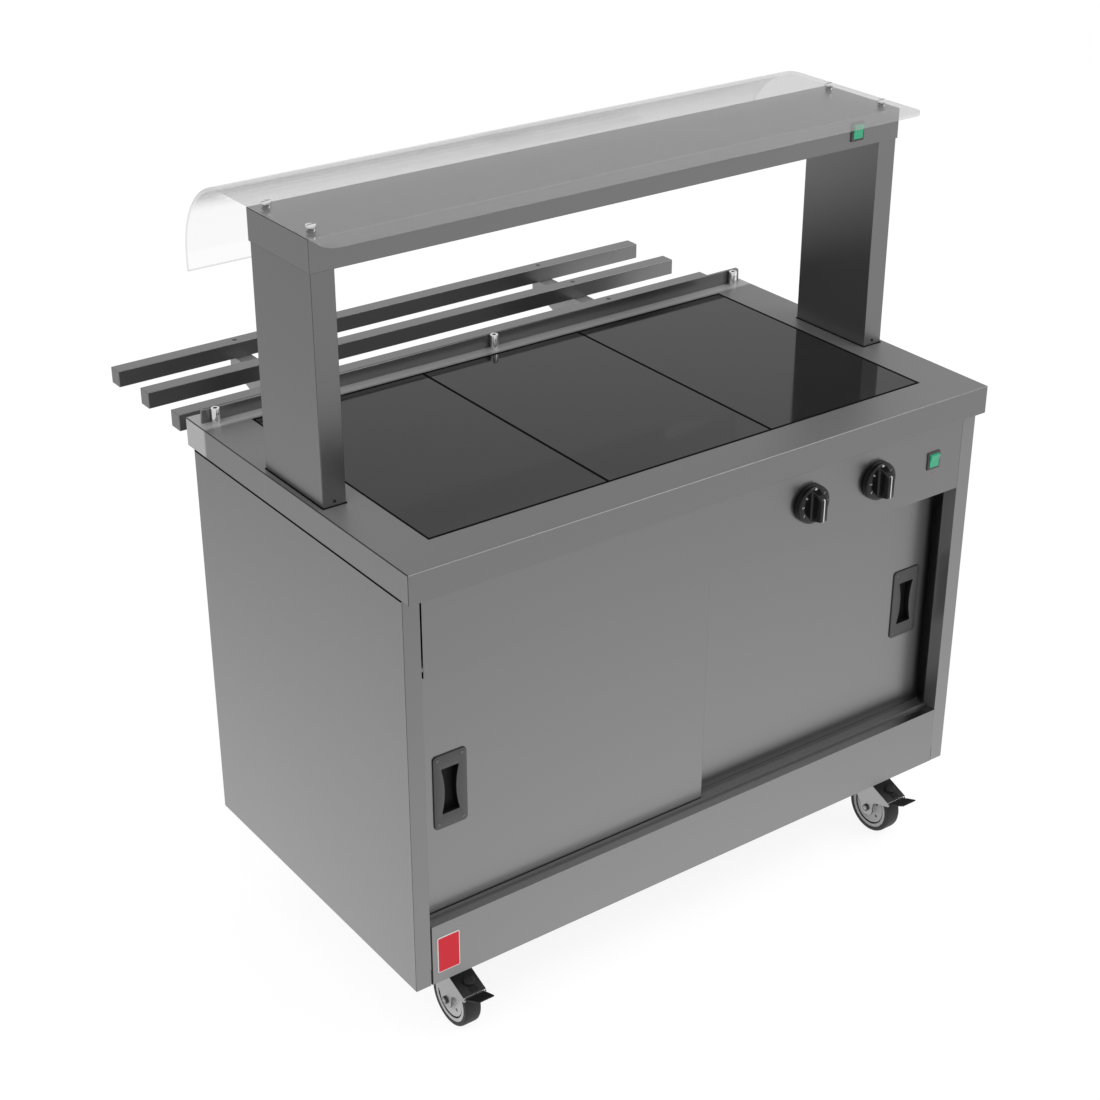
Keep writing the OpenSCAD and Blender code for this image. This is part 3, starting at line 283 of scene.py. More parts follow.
def litLens(name, colour, strength, grain=160.0, shade=0.8, rough=0.25):
    paint = Paint(name)
    glow = paint.blend(paint.noise([grain] * 3, 1.0), scaled(colour, shade), colour)
    return paint.show(paint.principled({
        "Base Color": glow, "Roughness": rough, "Emission Color": glow, "Emission Strength": strength}))


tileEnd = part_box("hot_tile_left")[1][1]  # the worktop's strip behind the tiles starts here
# Way of the grain, tone, roughness, then metal and the depth from which painted light makes it paler
steels = {
    "sheetAcross": ("x", 0.238, 0.3),
    "sheetUpright": ("z", 0.225, 0.3),
    "topSheet": ("x", 0.2, 0.42, 0.42, tileEnd + 0.001),
    "hoodSheet": ("x", 0.218, 0.38, 0.85),
    # painted light: the right panel's returns face left and are paler and less of a mirror than the other
    # panels
    "returnSheet": ("z", 0.262, 0.34, 0.8),
    "trackSheet": ("x", 0.19, 0.45, 0.8),
    "postSheet": ("z", 0.215, 0.32),
    "railTube": ("x", 0.225, 0.32),
    "linerSheet": ("x", 0.32, 0.40),
    "frameSheet": ("x", 0.28, 0.42),
    # the next two are painted shade and a painted highlight for rounded folds
    "darkFold": ("x", 0.06, 0.4),
    "brightFold": ("x", 0.25, 0.35),
    "bracketSheet": ("y", 0.36, 0.45, 0.7),
}
# Tone, roughness, then metal, grain per metre, spread of the tone, depth of the grain and shine
casts = {
    # the first is for dark joints round the tiles and for painted shade under the worktop's ends
    "sealant": (0.002, 0.8, 0.0, 1400.0, 0.2, 0.00004, 0.05),
    "tileRim": (0.002, 0.7, 0.0, 1400.0, 0.2, 0.00002, 0.1),
    "chrome": (0.85, 0.12, 1.0, 700.0, 0.03, 0.00001),
    "aluminium": (0.6, 0.3, 1.0, 500.0, 0.06),
    "element": ((0.16, 0.12, 0.09, 1.0), 0.45, 0.8),
    "quartz": ((0.75, 0.55, 0.38, 1.0), 0.2),
    "moulding": (0.06, 0.42, 0.0, 1400.0, 0.2, 0.00006),
    # recess is near-black painted shade for hollows, slots and gaps
    "recess": (0.003, 0.6, 0.0, 1400.0, 0.2, 0.00006, 0.25),
    "mouldingEdge": (0.014, 0.45, 0.0, 1400.0, 0.2, 0.00003),
    "screwHead": (0.2, 0.35, 1.0, 900.0, 0.05, 0.00001),
    "gloss": (0.006, 0.13, 0.0, 800.0, 0.15, 0.00001, 0.36),
    "stat": ((0.6, 0.56, 0.45, 1.0), 0.5),
    "print": (0.75, 0.4, 0.0, 900.0, 0.04),
    "darkPrint": (0.05, 0.45, 0.0, 900.0, 0.08),
    "redPrint": ((0.45, 0.02, 0.02, 1.0), 0.4, 0.0, 900.0, 0.08),
    "enamel": ((0.66, 0.014, 0.03, 1.0), 0.3, 0.0, 600.0, 0.04, 0.00002, 0.25),
    "zinc": (0.3, 0.36, 0.85, 400.0, 0.08, 0.00003),
    # a painted highlight for the castor cover's lip
    "brightZinc": (0.62, 0.3, 0.9, 400.0, 0.05, 0.00002),
    "darkZinc": (0.10, 0.4, 0.8, 400.0, 0.1, 0.00002),
    "blackScrew": (0.035, 0.4, 0.8, 400.0, 0.1, 0.00002),
    # a painted reflection on the castor cover, and black for its knob and pad
    "darkPress": (0.028, 0.4, 0.2, 500.0, 0.1, 0.00003, 0.4),
    "pedal": (0.004, 0.55, 0.0, 900.0, 0.2, 0.00006, 0.25),
    "hubShade": (0.05, 0.5, 0.0, 500.0, 0.1),
    "hub": (0.5, 0.42, 0.0, 500.0, 0.05),
    "tyre": (0.016, 0.62, 0.0, 700.0, 0.15, 0.00008, 0.35),
}
finishes = {
    "tile": polishedTile("tile", tileLook),
    "greenLens": litLens("greenLens", (0.03, 0.36, 0.19, 1.0), 0.25),
    "clear": clearSheet("clear", 0.5, 1.15, 0.48, 0.04),
    "clearEdge": clearSheet("clearEdge", 0.6, 0.6, 0.0, 0.25),
}
for make, table in ((brushedSteel, steels), (cast, casts)):
    finishes.update((name, make(name, *values)) for name, values in table.items())
print("finishes made:", len(finishes))


# Mesh helpers
def boxOf(name):
    # Low and high corner of a node's box, in millimetres
    return [[v * 1000 for v in corner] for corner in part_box(name)]


def middleOf(name, back=None):
    # The middle of a node's box, or the same this far behind its front
    low, high = boxOf(name)
    x, y, z = [(a + b) / 2 for a, b in zip(low, high)]
    return x, y if back is None else low[1] + back, z


def place(mesh, name, body, slot, materials):
    for material in materials:
        mesh.materials.append(finishes[material])
    piece = addObject(name, mesh)
    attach(piece, body)
    return piece


roundingLook = {
    "weld": 0.000005,
    "flat": 0.4,  # degrees between faces that count as one
    "sharp": 35.0,  # least angle of an edge that is rounded
    "turn": 70.0,  # widest angle that a rounding's normals take in
    "onBox": 0.00002,
    "steps": 2,
}


def cornerNormals(work, rounding):
    # Flat faces keep their own direction, and the rounding turns from one flat face to the next
    normals = []
    for face in work.faces:
        reach = math.radians(roundingLook["turn" if face in rounding else "sharp"])
        for loop in face.loops:
            near = [f for f in loop.vert.link_faces if f.normal.angle(face.normal, 0.0) < reach]
            firm = [f for f in near if f not in rounding] or near
            total = sum((f.normal * max(f.calc_area(), 1e-12) for f in firm), Vector())
            normals.append((total if total.length > 0 else face.normal).normalized())
    return normals


foldShadeAndHighlight = ["darkFold", "brightFold"]  # painted shade on folds that face left, a painted highlight on folds that face the front


def fromNode(name, newName, body, slot, material, outer=1.2, inner=0.3, folds=()):
    # A copy of a CAD node with rounded edges: those on its outer box by the first width, the rest by the second
    mesh = nodes[name].data.copy()
    mesh.materials.clear()
    work = bmesh.new()
    work.from_mesh(mesh)
    bmesh.ops.remove_doubles(work, verts=work.verts, dist=roundingLook["weld"])
    flat = math.radians(roundingLook["flat"])
    bmesh.ops.dissolve_limit(work, angle_limit=flat, verts=work.verts, edges=work.edges)
    low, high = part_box(name)
    groups = {outer: [], inner: []}
    for edge in work.edges:
        if len(edge.link_faces) != 2 or edge.calc_face_angle(0.0) < math.radians(roundingLook["sharp"]):
            continue
        ends = [v.co for v in edge.verts]
        near = roundingLook["onBox"]
        sides = sum(all(abs(v[i] - wall[i]) < near for v in ends) for i in range(3) for wall in (low, high))
        groups[outer if sides > 1 else inner].append(edge)
    rounding = set()
    for width, edges in groups.items():
        edges = [edge for edge in edges if edge.is_valid]
        made = bmesh.ops.bevel(work, geom=edges, offset=width * mm, segments=roundingLook["steps"],
                               profile=0.5, affect="EDGES", clamp_overlap=True, offset_type="OFFSET")
        rounding = {face for face in rounding if face.is_valid} | set(made["faces"])
    work.normal_update()
    for face in rounding:
        # painted shade on roundings that face left, a painted highlight on those that face forward and up
        if folds is foldShadeAndHighlight:
            x, y, z = face.normal
            leftward = x < -0.35 and abs(y) < 0.9
            forward = y < -0.3 and z > 0.3 and abs(x) < 0.2
            face.material_index = 1 if leftward else 2 if forward else 0
        elif folds:
            face.material_index = 1
    normals = cornerNormals(work, rounding)
    work.to_mesh(mesh)
    work.free()
    mesh.shade_smooth()
    mesh.normals_split_custom_set(normals)
    piece = place(mesh, newName, body, slot, [material, *folds])
    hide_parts(name)
    return piece


seamWeld = 0.000002  # points closer than this become one


# Surfaces from numpy grids: each row of points is joined to the next, in millimetres
class Surface:
    def __init__(self):
        self.points = []
        self.faces = []
        self.paints = []
        self.count = 0

    def grid(self, rows, paint=0, capped=False):
        rows = np.asarray(rows, dtype=float)
        tall, wide = rows.shape[:2]
        start = self.count
        self.points.append(rows.reshape(-1, 3))
        self.count += tall * wide
        i, j = np.meshgrid(np.arange(tall - 1), np.arange(wide), indexing="ij")
        k = (j + 1) % wide
        quads = np.stack([i * wide + j, i * wide + k, (i + 1) * wide + k, (i + 1) * wide + j], axis=-1)
        paints = [paint] * (tall - 1) if isinstance(paint, int) else list(paint)
        self.faces += (quads.reshape(-1, 4) + start).tolist()
        self.paints += np.repeat(paints, quads.shape[1]).tolist()
        if capped:
            self.faces += [list(range(start, start + wide)), list(range(self.count - wide, self.count))]
            self.paints += [paints[0], paints[-1]]
        return self

    def box(self, low, high, paint=0):
        x = [low[0], high[0], high[0], low[0]]
        y = [low[1], low[1], high[1], high[1]]
        return self.grid([points(x, y, z) for z in (low[2], high[2])], paint, capped=True)

    def make(self, name, body, slot, materials, replaced=None, sharp=35.0):
        mesh = bpy.data.meshes.new(name)
        mesh.from_pydata((np.concatenate(self.points) * mm).tolist(), [], self.faces)
        mesh.polygons.foreach_set("material_index", self.paints)
        work = bmesh.new()
        work.from_mesh(mesh)
        bmesh.ops.remove_doubles(work, verts=work.verts, dist=seamWeld)
        bmesh.ops.recalc_face_normals(work, faces=work.faces)
        work.to_mesh(mesh)
        work.free()
        mesh.shade_smooth()
        mesh.set_sharp_from_angle(angle=math.radians(sharp))
        piece = place(mesh, name, body, slot, materials)
        if replaced:
            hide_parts(replaced)
        return piece


def roundedLoop(halfWide, halfHigh, radius, waist=0.0, bend=7, run=9):
    # A rectangle with round corners and, where asked, sides drawn in halfway
    line = np.linspace(-1, 1, run)
    flat = halfHigh - radius
    side = np.stack([halfWide - waist * (1 - line ** 2), line * flat], axis=1)
    turn = np.linspace(0, math.pi / 2, bend)[1:-1]
    corner = np.stack([halfWide - radius + radius * np.cos(turn), flat + radius * np.sin(turn)], axis=1)
    top = np.stack([-line * (halfWide - radius), np.full(run, halfHigh)], axis=1)
    half = np.concatenate([side, corner, top, corner[::-1] * (-1, 1)])
    return np.concatenate([half, -half])


def circle(radius, count, ribs=0, depth=0.0):
    # Round loop; ribs make the radius rise and fall evenly
    turn = np.linspace(0, 2 * math.pi, count, endpoint=False)
    reach = radius + depth * np.cos(turn * ribs)
    return np.stack([reach * np.cos(turn), reach * np.sin(turn)], axis=1)


def points(x, y, z):
    # One point per row, from columns or single values
    return np.stack(np.broadcast_arrays(x, y, z), axis=1)


def facing(loop, proud, middle):
    # Stands a flat loop this proud of the face at middle
    x, z = np.transpose(loop)
    return points(middle[0] + x, middle[1] - proud, middle[2] + z)


def lying(loop, height, middle):
    # Lays a flat loop at a height above middle
    x, y = np.transpose(loop)
    return points(middle[0] + x, middle[1] + y, middle[2] + height)


print("helpers ready")
pair = ("left", "right")

# Sheet metal: rounded copies of the flat pieces
sheetPieces = [
    ("worktop", "worktopSheet", "worktop_steel", "topSheet", 1.5),
    ("side_panel_left", "leftPanel", "panel_steel", "sheetUpright", 1.0),
    ("side_panel_right", "rightPanel", "panel_steel", "returnSheet", 1.0),
    ("back_panel", "backPanel", "panel_steel", "sheetAcross", 0.5),
    ("plinth", "plinthSheet", "panel_steel", "sheetAcross", 0.3),
    ("fascia", "fasciaSheet", "panel_steel", "sheetAcross", 0.3),
    ("gantry_post_left", "leftPost", "worktop_steel", "postSheet", 1.0),
    ("gantry_post_right", "rightPost", "worktop_steel", "postSheet", 1.0),
    ("gantry_hood", "hoodSheet", "worktop_steel", "hoodSheet", 0.9),
    ("plate_rail", "plateRailBar", "worktop_steel", "railTube", 1.5),
    ("tray_brackets", "railBrackets", "frame_steel", "bracketSheet", 0.8),
    ("shelf", "shelfSheet", "liner_steel", "linerSheet", 0.5),
]
for spot in ("inner", "middle", "outer"):
    sheetPieces.append(("tray_rail_" + spot, spot + "Rail", "worktop_steel", "railTube", 1.5))
foldedPieces = ["worktop", "side_panel_left", "gantry_post_left", "gantry_hood"]  # their folds carry painted shade on the left and a painted highlight at the front
for node, name, slot, material, width in sheetPieces:
    fromNode(node, name, "cabinet", slot, material, width, 0.3, foldShadeAndHighlight if node in foldedPieces else ())
for side in pair:
    fromNode("door_" + side, side + "DoorSkin", side + "_door", "panel_steel", "sheetAcross", 1.0)
print("sheet pieces made")

# Dials: a turned skirt, a grip from stacked round-cornered loops and a pointer line along its ridge
dialLook = {
    # radius and distance from the fascia
    "skirt": [(0.4, 0.6), (33.2, 0.6), (33.8, 1.2), (33.8, 8.6), (33.1, 10.9), (31.4, 12.4), (29.0, 12.9),
              (20, 13.1), (0.4, 13.1)],
    "ribs": 60,
    "ribDepth": 0.2,
    "ribFrom": 33,  # least radius with ribs
    "base": 12.9,
    "reach": 35.0,
    # the grip: distances of its loops from the fascia, its top and foot at base and reach, and its rounded end
    "levels": [11.0, 12.9, 13.4, 14.2, 15.6, 17.5, 21.0, 26.0, 33.5, 34.5, 34.88],
    "topRange": (28.2, 17.7),
    "lowRange": (-27.2, -21.4),
    "insets": (0.0, 0.35, 1.1),
    "corner": 2.4,
    "halfWide": 7.7,
    "flare": 2.4,
    "flareShare": 0.25,  # part of the grip's height that flares
    "lineWide": 2.1,
    "lineStart": 15.2,
    "lineThick": (0.1, -0.6),
    "dotRadius": 2.1,
    "dotRise": 29.4,
    "dotRange": (12.0, 13.02),
    "figures": {1: -48, 2: -84, 3: -120, 4: 120, 5: 84, 6: 48},  # turn of each figure
    "figureRing": 26.0,
    "figureHigh": 4.2,
    "figureWide": 0.55,
    "figureRange": (12.7, 13.06),
}
# Lines of each figure through points on a 1 by 2 grid
figureLines = {
    1: [[(0.5, 0), (0.5, 2)]],
    2: [[(0, 2), (1, 2), (1, 1), (0, 1), (0, 0), (1, 0)]],
    3: [[(0, 2), (1, 2), (1, 0), (0, 0)], [(0, 1), (1, 1)]],
    4: [[(0, 2), (0, 1), (1, 1)], [(1, 2), (1, 0)]],
    5: [[(1, 2), (0, 2), (0, 1), (1, 1), (1, 0), (0, 0)]],
    6: [[(1, 2), (0, 2), (0, 0), (1, 0), (1, 1), (0, 1)]],
}


def strokeLoop(start, end, wide):
    # Four corners of a stroke between two flat points
    start, end = np.array(start, dtype=float), np.array(end, dtype=float)
    along = (end - start) / np.linalg.norm(end - start)
    across = np.array([-along[1], along[0]]) * wide / 2
    grow = along * wide / 2
    return np.array([start - grow - across, end + grow - across, end + grow + across, start - grow + across])


def addFigure(surface, figure, angle, middle, look):
    # A figure whose foot points at the dial's middle
    size = look["figureHigh"] / 2
    turn = math.radians(angle)
    spin = np.array([[math.cos(turn), math.sin(turn)], [-math.sin(turn), math.cos(turn)]])
    for line in figureLines[figure]:
        line = (np.array(line) - (0.5, 1.0)) * size
        for start, end in zip(line, line[1:]):
            loop = strokeLoop(start, end, look["figureWide"]) + (0, look["figureRing"])
            surface.grid([facing(loop @ spin, p, middle) for p in look["figureRange"]], 1, capped=True)


def makeDial(node, name, body, look):
    middle = middleOf(node, look["reach"])
    surface = Surface()
    rows = []
    for radius, proud in look["skirt"]:
        ribDepth = look["ribDepth"] if radius > look["ribFrom"] else 0.0
        rows.append(facing(circle(radius, 240, look["ribs"], ribDepth), proud, middle))
    surface.grid(rows, capped=True)
    levels = np.array(look["levels"])
    share = np.clip((levels - look["base"]) / (look["reach"] - look["base"]), 0, 1)
    inset = np.interp(levels, levels[-3:], look["insets"])
    tops = np.interp(share, [0, 1], look["topRange"]) - inset
    lows = np.interp(share, [0, 1], look["lowRange"]) + inset
    flare = look["flare"] * np.clip(1 - share / look["flareShare"], 0, 1) ** 2
    halves = look["halfWide"] + flare - inset
    rows = [facing(roundedLoop(w, (t - b) / 2, look["corner"]) + (0, (t + b) / 2), p, middle)
            for w, t, b, p in zip(halves, tops, lows, levels)]
    surface.grid(rows, capped=True)
    # the pointer line, along the slope and down the front: height and distance from the fascia of each turn,
    # and which way the line faces there
    edge, front = levels[-2:]
    top, foot = look["topRange"][1], look["lowRange"][1]
    path = [(tops[0] - 2.7, look["lineStart"]), (top + 0.35, edge), (top - 1.2, front),
            (foot + 1.1, front), (foot - 0.3, edge - 0.2)]
    outward = [(0.93, 0.37), (0.80, 0.60), (0.1, 1.0), (-0.1, 1.0), (-0.8, 0.6)]
    half = look["lineWide"] / 2
    over, under = look["lineThick"]
    ring = [(-half, over), (half, over), (half, under), (-half, under)]
    rows = [[(middle[0] + u, middle[1] - p - out * d, middle[2] + z + up * d) for u, d in ring]
            for (z, p), (up, out) in zip(path, outward)]
    surface.grid(rows, 1, capped=True)
    dot = circle(look["dotRadius"], 24) + (0, look["dotRise"])
    surface.grid([facing(dot, p, middle) for p in look["dotRange"]], 1, capped=True)
    for figure, angle in look["figures"].items():
        addFigure(surface, figure, angle, middle, look)
    surface.make(name, body, "gloss_black", ["gloss", "print"], node, 30.0)


for side in pair:
    makeDial("dial_" + side, side + "DialKnob", side + "_dial", dialLook)
print("dials made")

# Door handles: a plate with a waisted recess and four screws
handleLook = {
    "halfWide": 31.0,
    "halfHigh": 67.0,
    "corner": 7.0,
    "proud": 2.2,
    "recessHalf": (16.0, 41.0),
    "recessWaist": 5.5,
    "recessCorner": 1.6,
    "cupDepth": 14.0,
    "cupWall": 2.0,
    "screws": [(-22.5, -58.5), (22.5, -58.5), (-22.5, 58.5), (22.5, 58.5)],
    "screwRadius": 2.6,
    "crossHalf": (1.5, 0.6),  # a screw's slots, from its middle to a slot's end
    "crossWide": 0.5,
}


def makeHandle(node, name, body, look):
    middle = middleOf(node, look["proud"])
    wide, tall, corner, proud = look["halfWide"], look["halfHigh"], look["corner"], look["proud"]
    slotWide, slotTall = look["recessHalf"]
    waist, cup, wall = look["recessWaist"], look["cupDepth"], look["cupWall"]

    def plate(inset, p):
        return facing(roundedLoop(wide - inset, tall - inset, corner - inset), p, middle)

    def recess(grow, p, radius=look["recessCorner"]):
        return facing(roundedLoop(slotWide + grow, slotTall + grow, radius + max(grow, 0), waist), p, middle)

    def cupLoop(p):
        return facing(roundedLoop(slotWide + wall, slotTall + wall, 1.0), p, middle)

    # loops from the cup's back round the plate's edge to the recess's floor
    rows = [cupLoop(-cup), cupLoop(0.0), plate(0.0, 0.0), plate(0.0, proud - 0.9), plate(0.25, proud - 0.3),
            plate(0.9, proud), recess(0.8, proud), recess(0.25, proud - 0.2), recess(0.0, proud - 0.8),
            recess(-0.3, -cup + 3.5), recess(-1.2, -cup + 2.2, 0.8)]
    # painted shade: the recess's walls and floor, the rings round the screws and the screws' slots take the
    # near-black recess finish
    paints = [0, 0, 2, 2, 2, 0, 0, 1, 1, 1]
    surface = Surface().grid(rows, paints, capped=True)
    for x, z in look["screws"]:
        for radius, deep, rise, paint in ((look["screwRadius"] + 0.6, proud - 0.5, proud + 0.04, 1),
                                          (look["screwRadius"], proud - 0.4, proud + 0.35, 3)):
            outer = circle(radius, 20) + (x, z)
            inner = circle(radius - 0.5, 20) + (x, z)
            surface.grid([facing(outer, deep, middle), facing(outer, rise - 0.2 * (paint > 1), middle),
                          facing(inner, rise, middle)], paint, capped=True)
        a, b = look["crossHalf"]
        for start, end in (((-a, -b), (a, b)), ((-b, a), (b, -a))):
            loop = strokeLoop(start, end, look["crossWide"])
            surface.grid([facing(loop + (x, z), p, middle) for p in (proud, proud + 0.38)], 1, capped=True)
    surface.make(name, body, "black_plastic", ["moulding", "recess", "mouldingEdge", "screwHead"], node, 30.0)


for side in pair:
    makeHandle("door_" + side + "_handle", side + "HandlePlate", side + "_door", handleLook)
print("handles made")

# Switches with a lit lens, and small marks printed beside the lower one
for spot in ("fascia", "gantry"):
    fromNode(spot + "_switch", spot + "SwitchBody", "cabinet", "black_plastic", "moulding", 0.7, 0.5)
    fromNode(spot + "_rocker", spot + "RockerLens", spot + "_switch_rocker", "green_rocker", "greenLens",
             0.5, 0.5)

marksLook = {
    "tickWide": 1.0,
    "tickRange": (36.0, 41.5),  # above each dial's middle
    "onHalf": (0.35, 1.7),  # half the on mark's width and height
    "onRise": 22.5,  # from the switch's middle to the on mark
    "offRadii": (1.8, 1.2),
    "offDrop": 24.5,
    "thick": 0.05,
    "sunk": 0.1,
}


def makeMarks(look):
    # Small prints on the fascia's face
    face = boxOf("fascia")[0][1]
    front, back = face - look["thick"], face + look["sunk"]
    surface = Surface()
    half = look["tickWide"] / 2
    low, high = look["tickRange"]
    for dial in ("dial_left", "dial_right"):
        x, _, z = middleOf(dial)
        surface.box((x - half, front, z + low), (x + half, back, z + high))
    x, _, z = middleOf("fascia_switch")
    wide, tall = look["onHalf"]
    onZ = z + look["onRise"]
    surface.box((x - wide, front, onZ - tall), (x + wide, back, onZ + tall), 1)
    outer, inner = [circle(radius, 28) for radius in look["offRadii"]]
    middle = (x, face, z - look["offDrop"])
    turns = [(outer, -look["sunk"]), (outer, look["thick"]), (inner, look["thick"]), (inner, -look["sunk"]),
             (outer, -look["sunk"])]
    surface.grid([facing(loop, proud, middle) for loop, proud in turns], 1)
    surface.make("fasciaMarks", "cabinet", "black_plastic", ["darkPrint", "redPrint"])


makeMarks(marksLook)

# Blank badge: a pale rim round a red field that lies a little lower
badgeLook = {
    "corner": 3.2,
    "leastCorner": 1.0,
    "edge": 0.4,  # width of the rim's rounded edge
    "rim": 1.3,
    "rimFoot": 1.45,
    "sunk": 0.08,
    "field": 3,  # inset of a loop inside the field
}


def makeBadge(name, look):
    low, high = boxOf(name)
    middle = ((low[0] + high[0]) / 2, high[1], (low[2] + high[2]) / 2)
    wide, tall, thick = (high[0] - low[0]) / 2, (high[2] - low[2]) / 2, high[1] - low[1]
    edge, field = look["edge"], thick - look["sunk"]
    steps = [(0.0, 0.0), (0.0, thick - edge), (edge, thick), (look["rim"], thick), (look["rimFoot"], field),
             (look["field"], field)]
    rows = []
    for inset, p in steps:
        corner = max(look["corner"] - inset, look["leastCorner"])
        rows.append(facing(roundedLoop(wide - inset, tall - inset, corner), p, middle))
    badge = Surface().grid(rows, [0, 0, 0, 0, 1], capped=True)
    badge.make("badgeEnamel", "cabinet", "badge_enamel", ["print", "enamel"], name)


makeBadge("badge_plate", badgeLook)
print("switches, marks and badge made")

# Glass guard: a bent sheet with round front corners and ground edges
guardLook = {
    "thick": 6.0,
    "bend": 143.0,
    "corner": 20.0,
    "ease": [(0.0, 0.9), (0.25, 0.3), (0.9, 0.0)],  # inset from an edge, and how much thinner on each side
    "bendSteps": 48,
    "cornerSteps": 9,
    "cutTurn": 0.4,  # least lean of a face on a ground edge
    "cutReach": (30, 2),  # depth of the front edge and height of the lower one
}


def makeGuard(node, look):
    low, high = boxOf(node)
    half, radius = look["thick"] / 2, look["bend"] - look["thick"] / 2
    turn = np.linspace(0, math.pi / 2, look["bendSteps"] + 1)
    centre = np.array([high[1] - look["bend"], high[2] - look["bend"]])
    arcNormal = np.stack([np.sin(turn), np.cos(turn)], axis=1)
    arc = centre + radius * arcNormal
    ease = np.array(look["ease"])
    rows = []
    middleX = middleOf(node)[0]
    wide = high[0] - middleX
    across = np.linspace(0, math.pi / 2, look["cornerSteps"])
    inner = [wide - look["corner"] * (1 - math.sin(a)) for a in across[:-1]]
    right = inner[:-1] + [wide - d for d, _ in reversed(look["ease"])]
    stations = sorted([-x for x in right] + right)
    for x in stations:
        edge = wide - abs(x)
        thin = np.interp(edge, ease[:, 0], ease[:, 1])
        into = max(look["corner"] - edge, 0.0)
        front = low[1] + look["corner"] - math.sqrt(max(look["corner"] ** 2 - into ** 2, 0.0))
        flat = np.array([(front + d, high[2] - half) for d, _ in look["ease"]])
        hang = np.array([(high[1] - half, low[2] + d) for d, _ in reversed(look["ease"])])
        line = np.concatenate([flat, arc, hang])
        normal = np.concatenate([np.tile((0, 1), (3, 1)), arcNormal, np.tile((1, 0), (3, 1))])
        taper = np.concatenate([ease[:, 1], np.zeros(len(arc)), ease[::-1, 1]])
        offset = normal * (half - np.maximum(taper, thin))[:, None]
        loop = np.concatenate([line + offset, (line - offset)[::-1]])
        rows.append(points(x + middleX, *loop.T))
    sheet = Surface().grid(rows, capped=True)
    guard = sheet.make("guardSheet", "cabinet", "clear_glass", ["clear", "clearEdge"], node, 14.0)
    turn, (deep, tall) = look["cutTurn"], look["cutReach"]
    for face in guard.data.polygons:
        middle, normal = face.center * 1000, face.normal
        cutEnd = abs(normal.x) > turn
        cutFront = normal.y < -turn and middle.y < low[1] + deep
        cutLow = normal.z < -turn and middle.z < low[2] + tall
        face.material_index = 1 if cutEnd or cutFront or cutLow else 0


makeGuard("guard_glass", guardLook)

# Glass fixings: turned, with a slot in the head
capLook = {
    # radius and height above the glass, from the washer up the stem and over the head
    "profile": [(0.4, -7), (7, -7), (7, -6), (4.6, -6), (4.6, 0), (7.6, 0), (8, 0.4), (8, 3.9), (7.8, 4.5),
                (7.2, 4.85), (0.4, 4.95)],
    "radius": 8,
    "paints": [1] * 4 + [0] * 6,  # the washer and stem are painted dark as painted shade under the head
    "slotHalf": (6.5, 1.2),  # from the middle to the slot's end
    "slotWide": 1.5,
    "slotRange": (4.0, 5.0),
    "headHigh": 5.0,
}


def makeCaps(node, look):
    low, high = boxOf(node)
    radius = look["radius"]
    a, b = look["slotHalf"]
    slot = strokeLoop((-a, -b), (a, b), look["slotWide"])
    surface = Surface()
    for x in (low[0] + radius, high[0] - radius):
        for y in (low[1] + radius, high[1] - radius):
            middle = (x, y, high[2] - look["headHigh"])
            rows = [lying(circle(r, 40), h, middle) for r, h in look["profile"]]
            surface.grid(rows, look["paints"], capped=True)
            surface.grid([lying(slot, h, middle) for h in look["slotRange"]], 1, capped=True)
    surface.make("guardFixings", "cabinet", "bright_chrome", ["chrome", "recess"], node, 30.0)


makeCaps("guard_caps", capLook)

# Plate rail posts: turned, with a socket in the top and a set screw in front
postLook = {
    "radius": 7.5,
    "profile": [(0.4, 0), (7.5, 0), (7.5, 24.9), (7.2, 25.6), (6.6, 26.0), (4.0, 26.0), (3.6, 25.6),
                (3.5, 21.0), (0.4, 21.0)],
    "paints": [0] * 6 + [1, 1],  # the socket is painted dark as painted shade in the hollow
    "screwRise": 17.0,
    "screwRadius": 2.6,
    "screwRange": (6.0, 7.4),
}


def makeRailPosts(node, look):
    low, high = boxOf(node)
    radius = look["radius"]
    surface = Surface()
    for x in (low[0] + radius, (low[0] + high[0]) / 2, high[0] - radius):
        middle = (x, low[1] + radius, low[2])
        rows = [lying(circle(r, 40), h, middle) for r, h in look["profile"]]
        surface.grid(rows, look["paints"], capped=True)
        front = (*middle[:2], low[2] + look["screwRise"])
        screw = circle(look["screwRadius"], 24)
        surface.grid([facing(screw, p, front) for p in look["screwRange"]], 1, capped=True)
    surface.make("railPosts", "cabinet", "bright_chrome", ["chrome", "recess"], node, 30.0)


makeRailPosts("plate_rail_posts", postLook)
print("guard, fixings and rail posts made")

# Hot tiles, dark sealing beads in the joints round them, and painted shade strips under the worktop's ends
sides = ("left", "middle", "right")
for side in sides:
    fromNode("hot_tile_" + side, side + "TileGlass", "cabinet", "tile_glass", "tile", 0.6, 0.6, ["tileRim"])
sealAndShadeLook = {
    "proud": 0.12,
    "deep": 5.0,
    "over": 1.9,  # how far a bead laps onto the glass on each side, between two tiles
    "overEnd": 2.8,  # the same at the two ends of the row
    "overFront": 4.2,  # the same along its front and back
    "foot": 1.3,  # bead round the gantry posts
    "shadeStrip": 2.2,  # seen height of the painted shade strip under the worktop's ends
    "shadeStripThick": 0.5,
    "shadeStripShort": 3,
}
seamLook = {
    # low and high corner, from the plinth's lower left front corner and upper left front one
    "gap": ((-2.4, 0.4, 0.5), (-0.05, 1.4, -0.5)),
    # the same from its right corners
    "seam": ((-0.7, -0.03, 0.0), (1.2, 0.6, -0.4)),
}


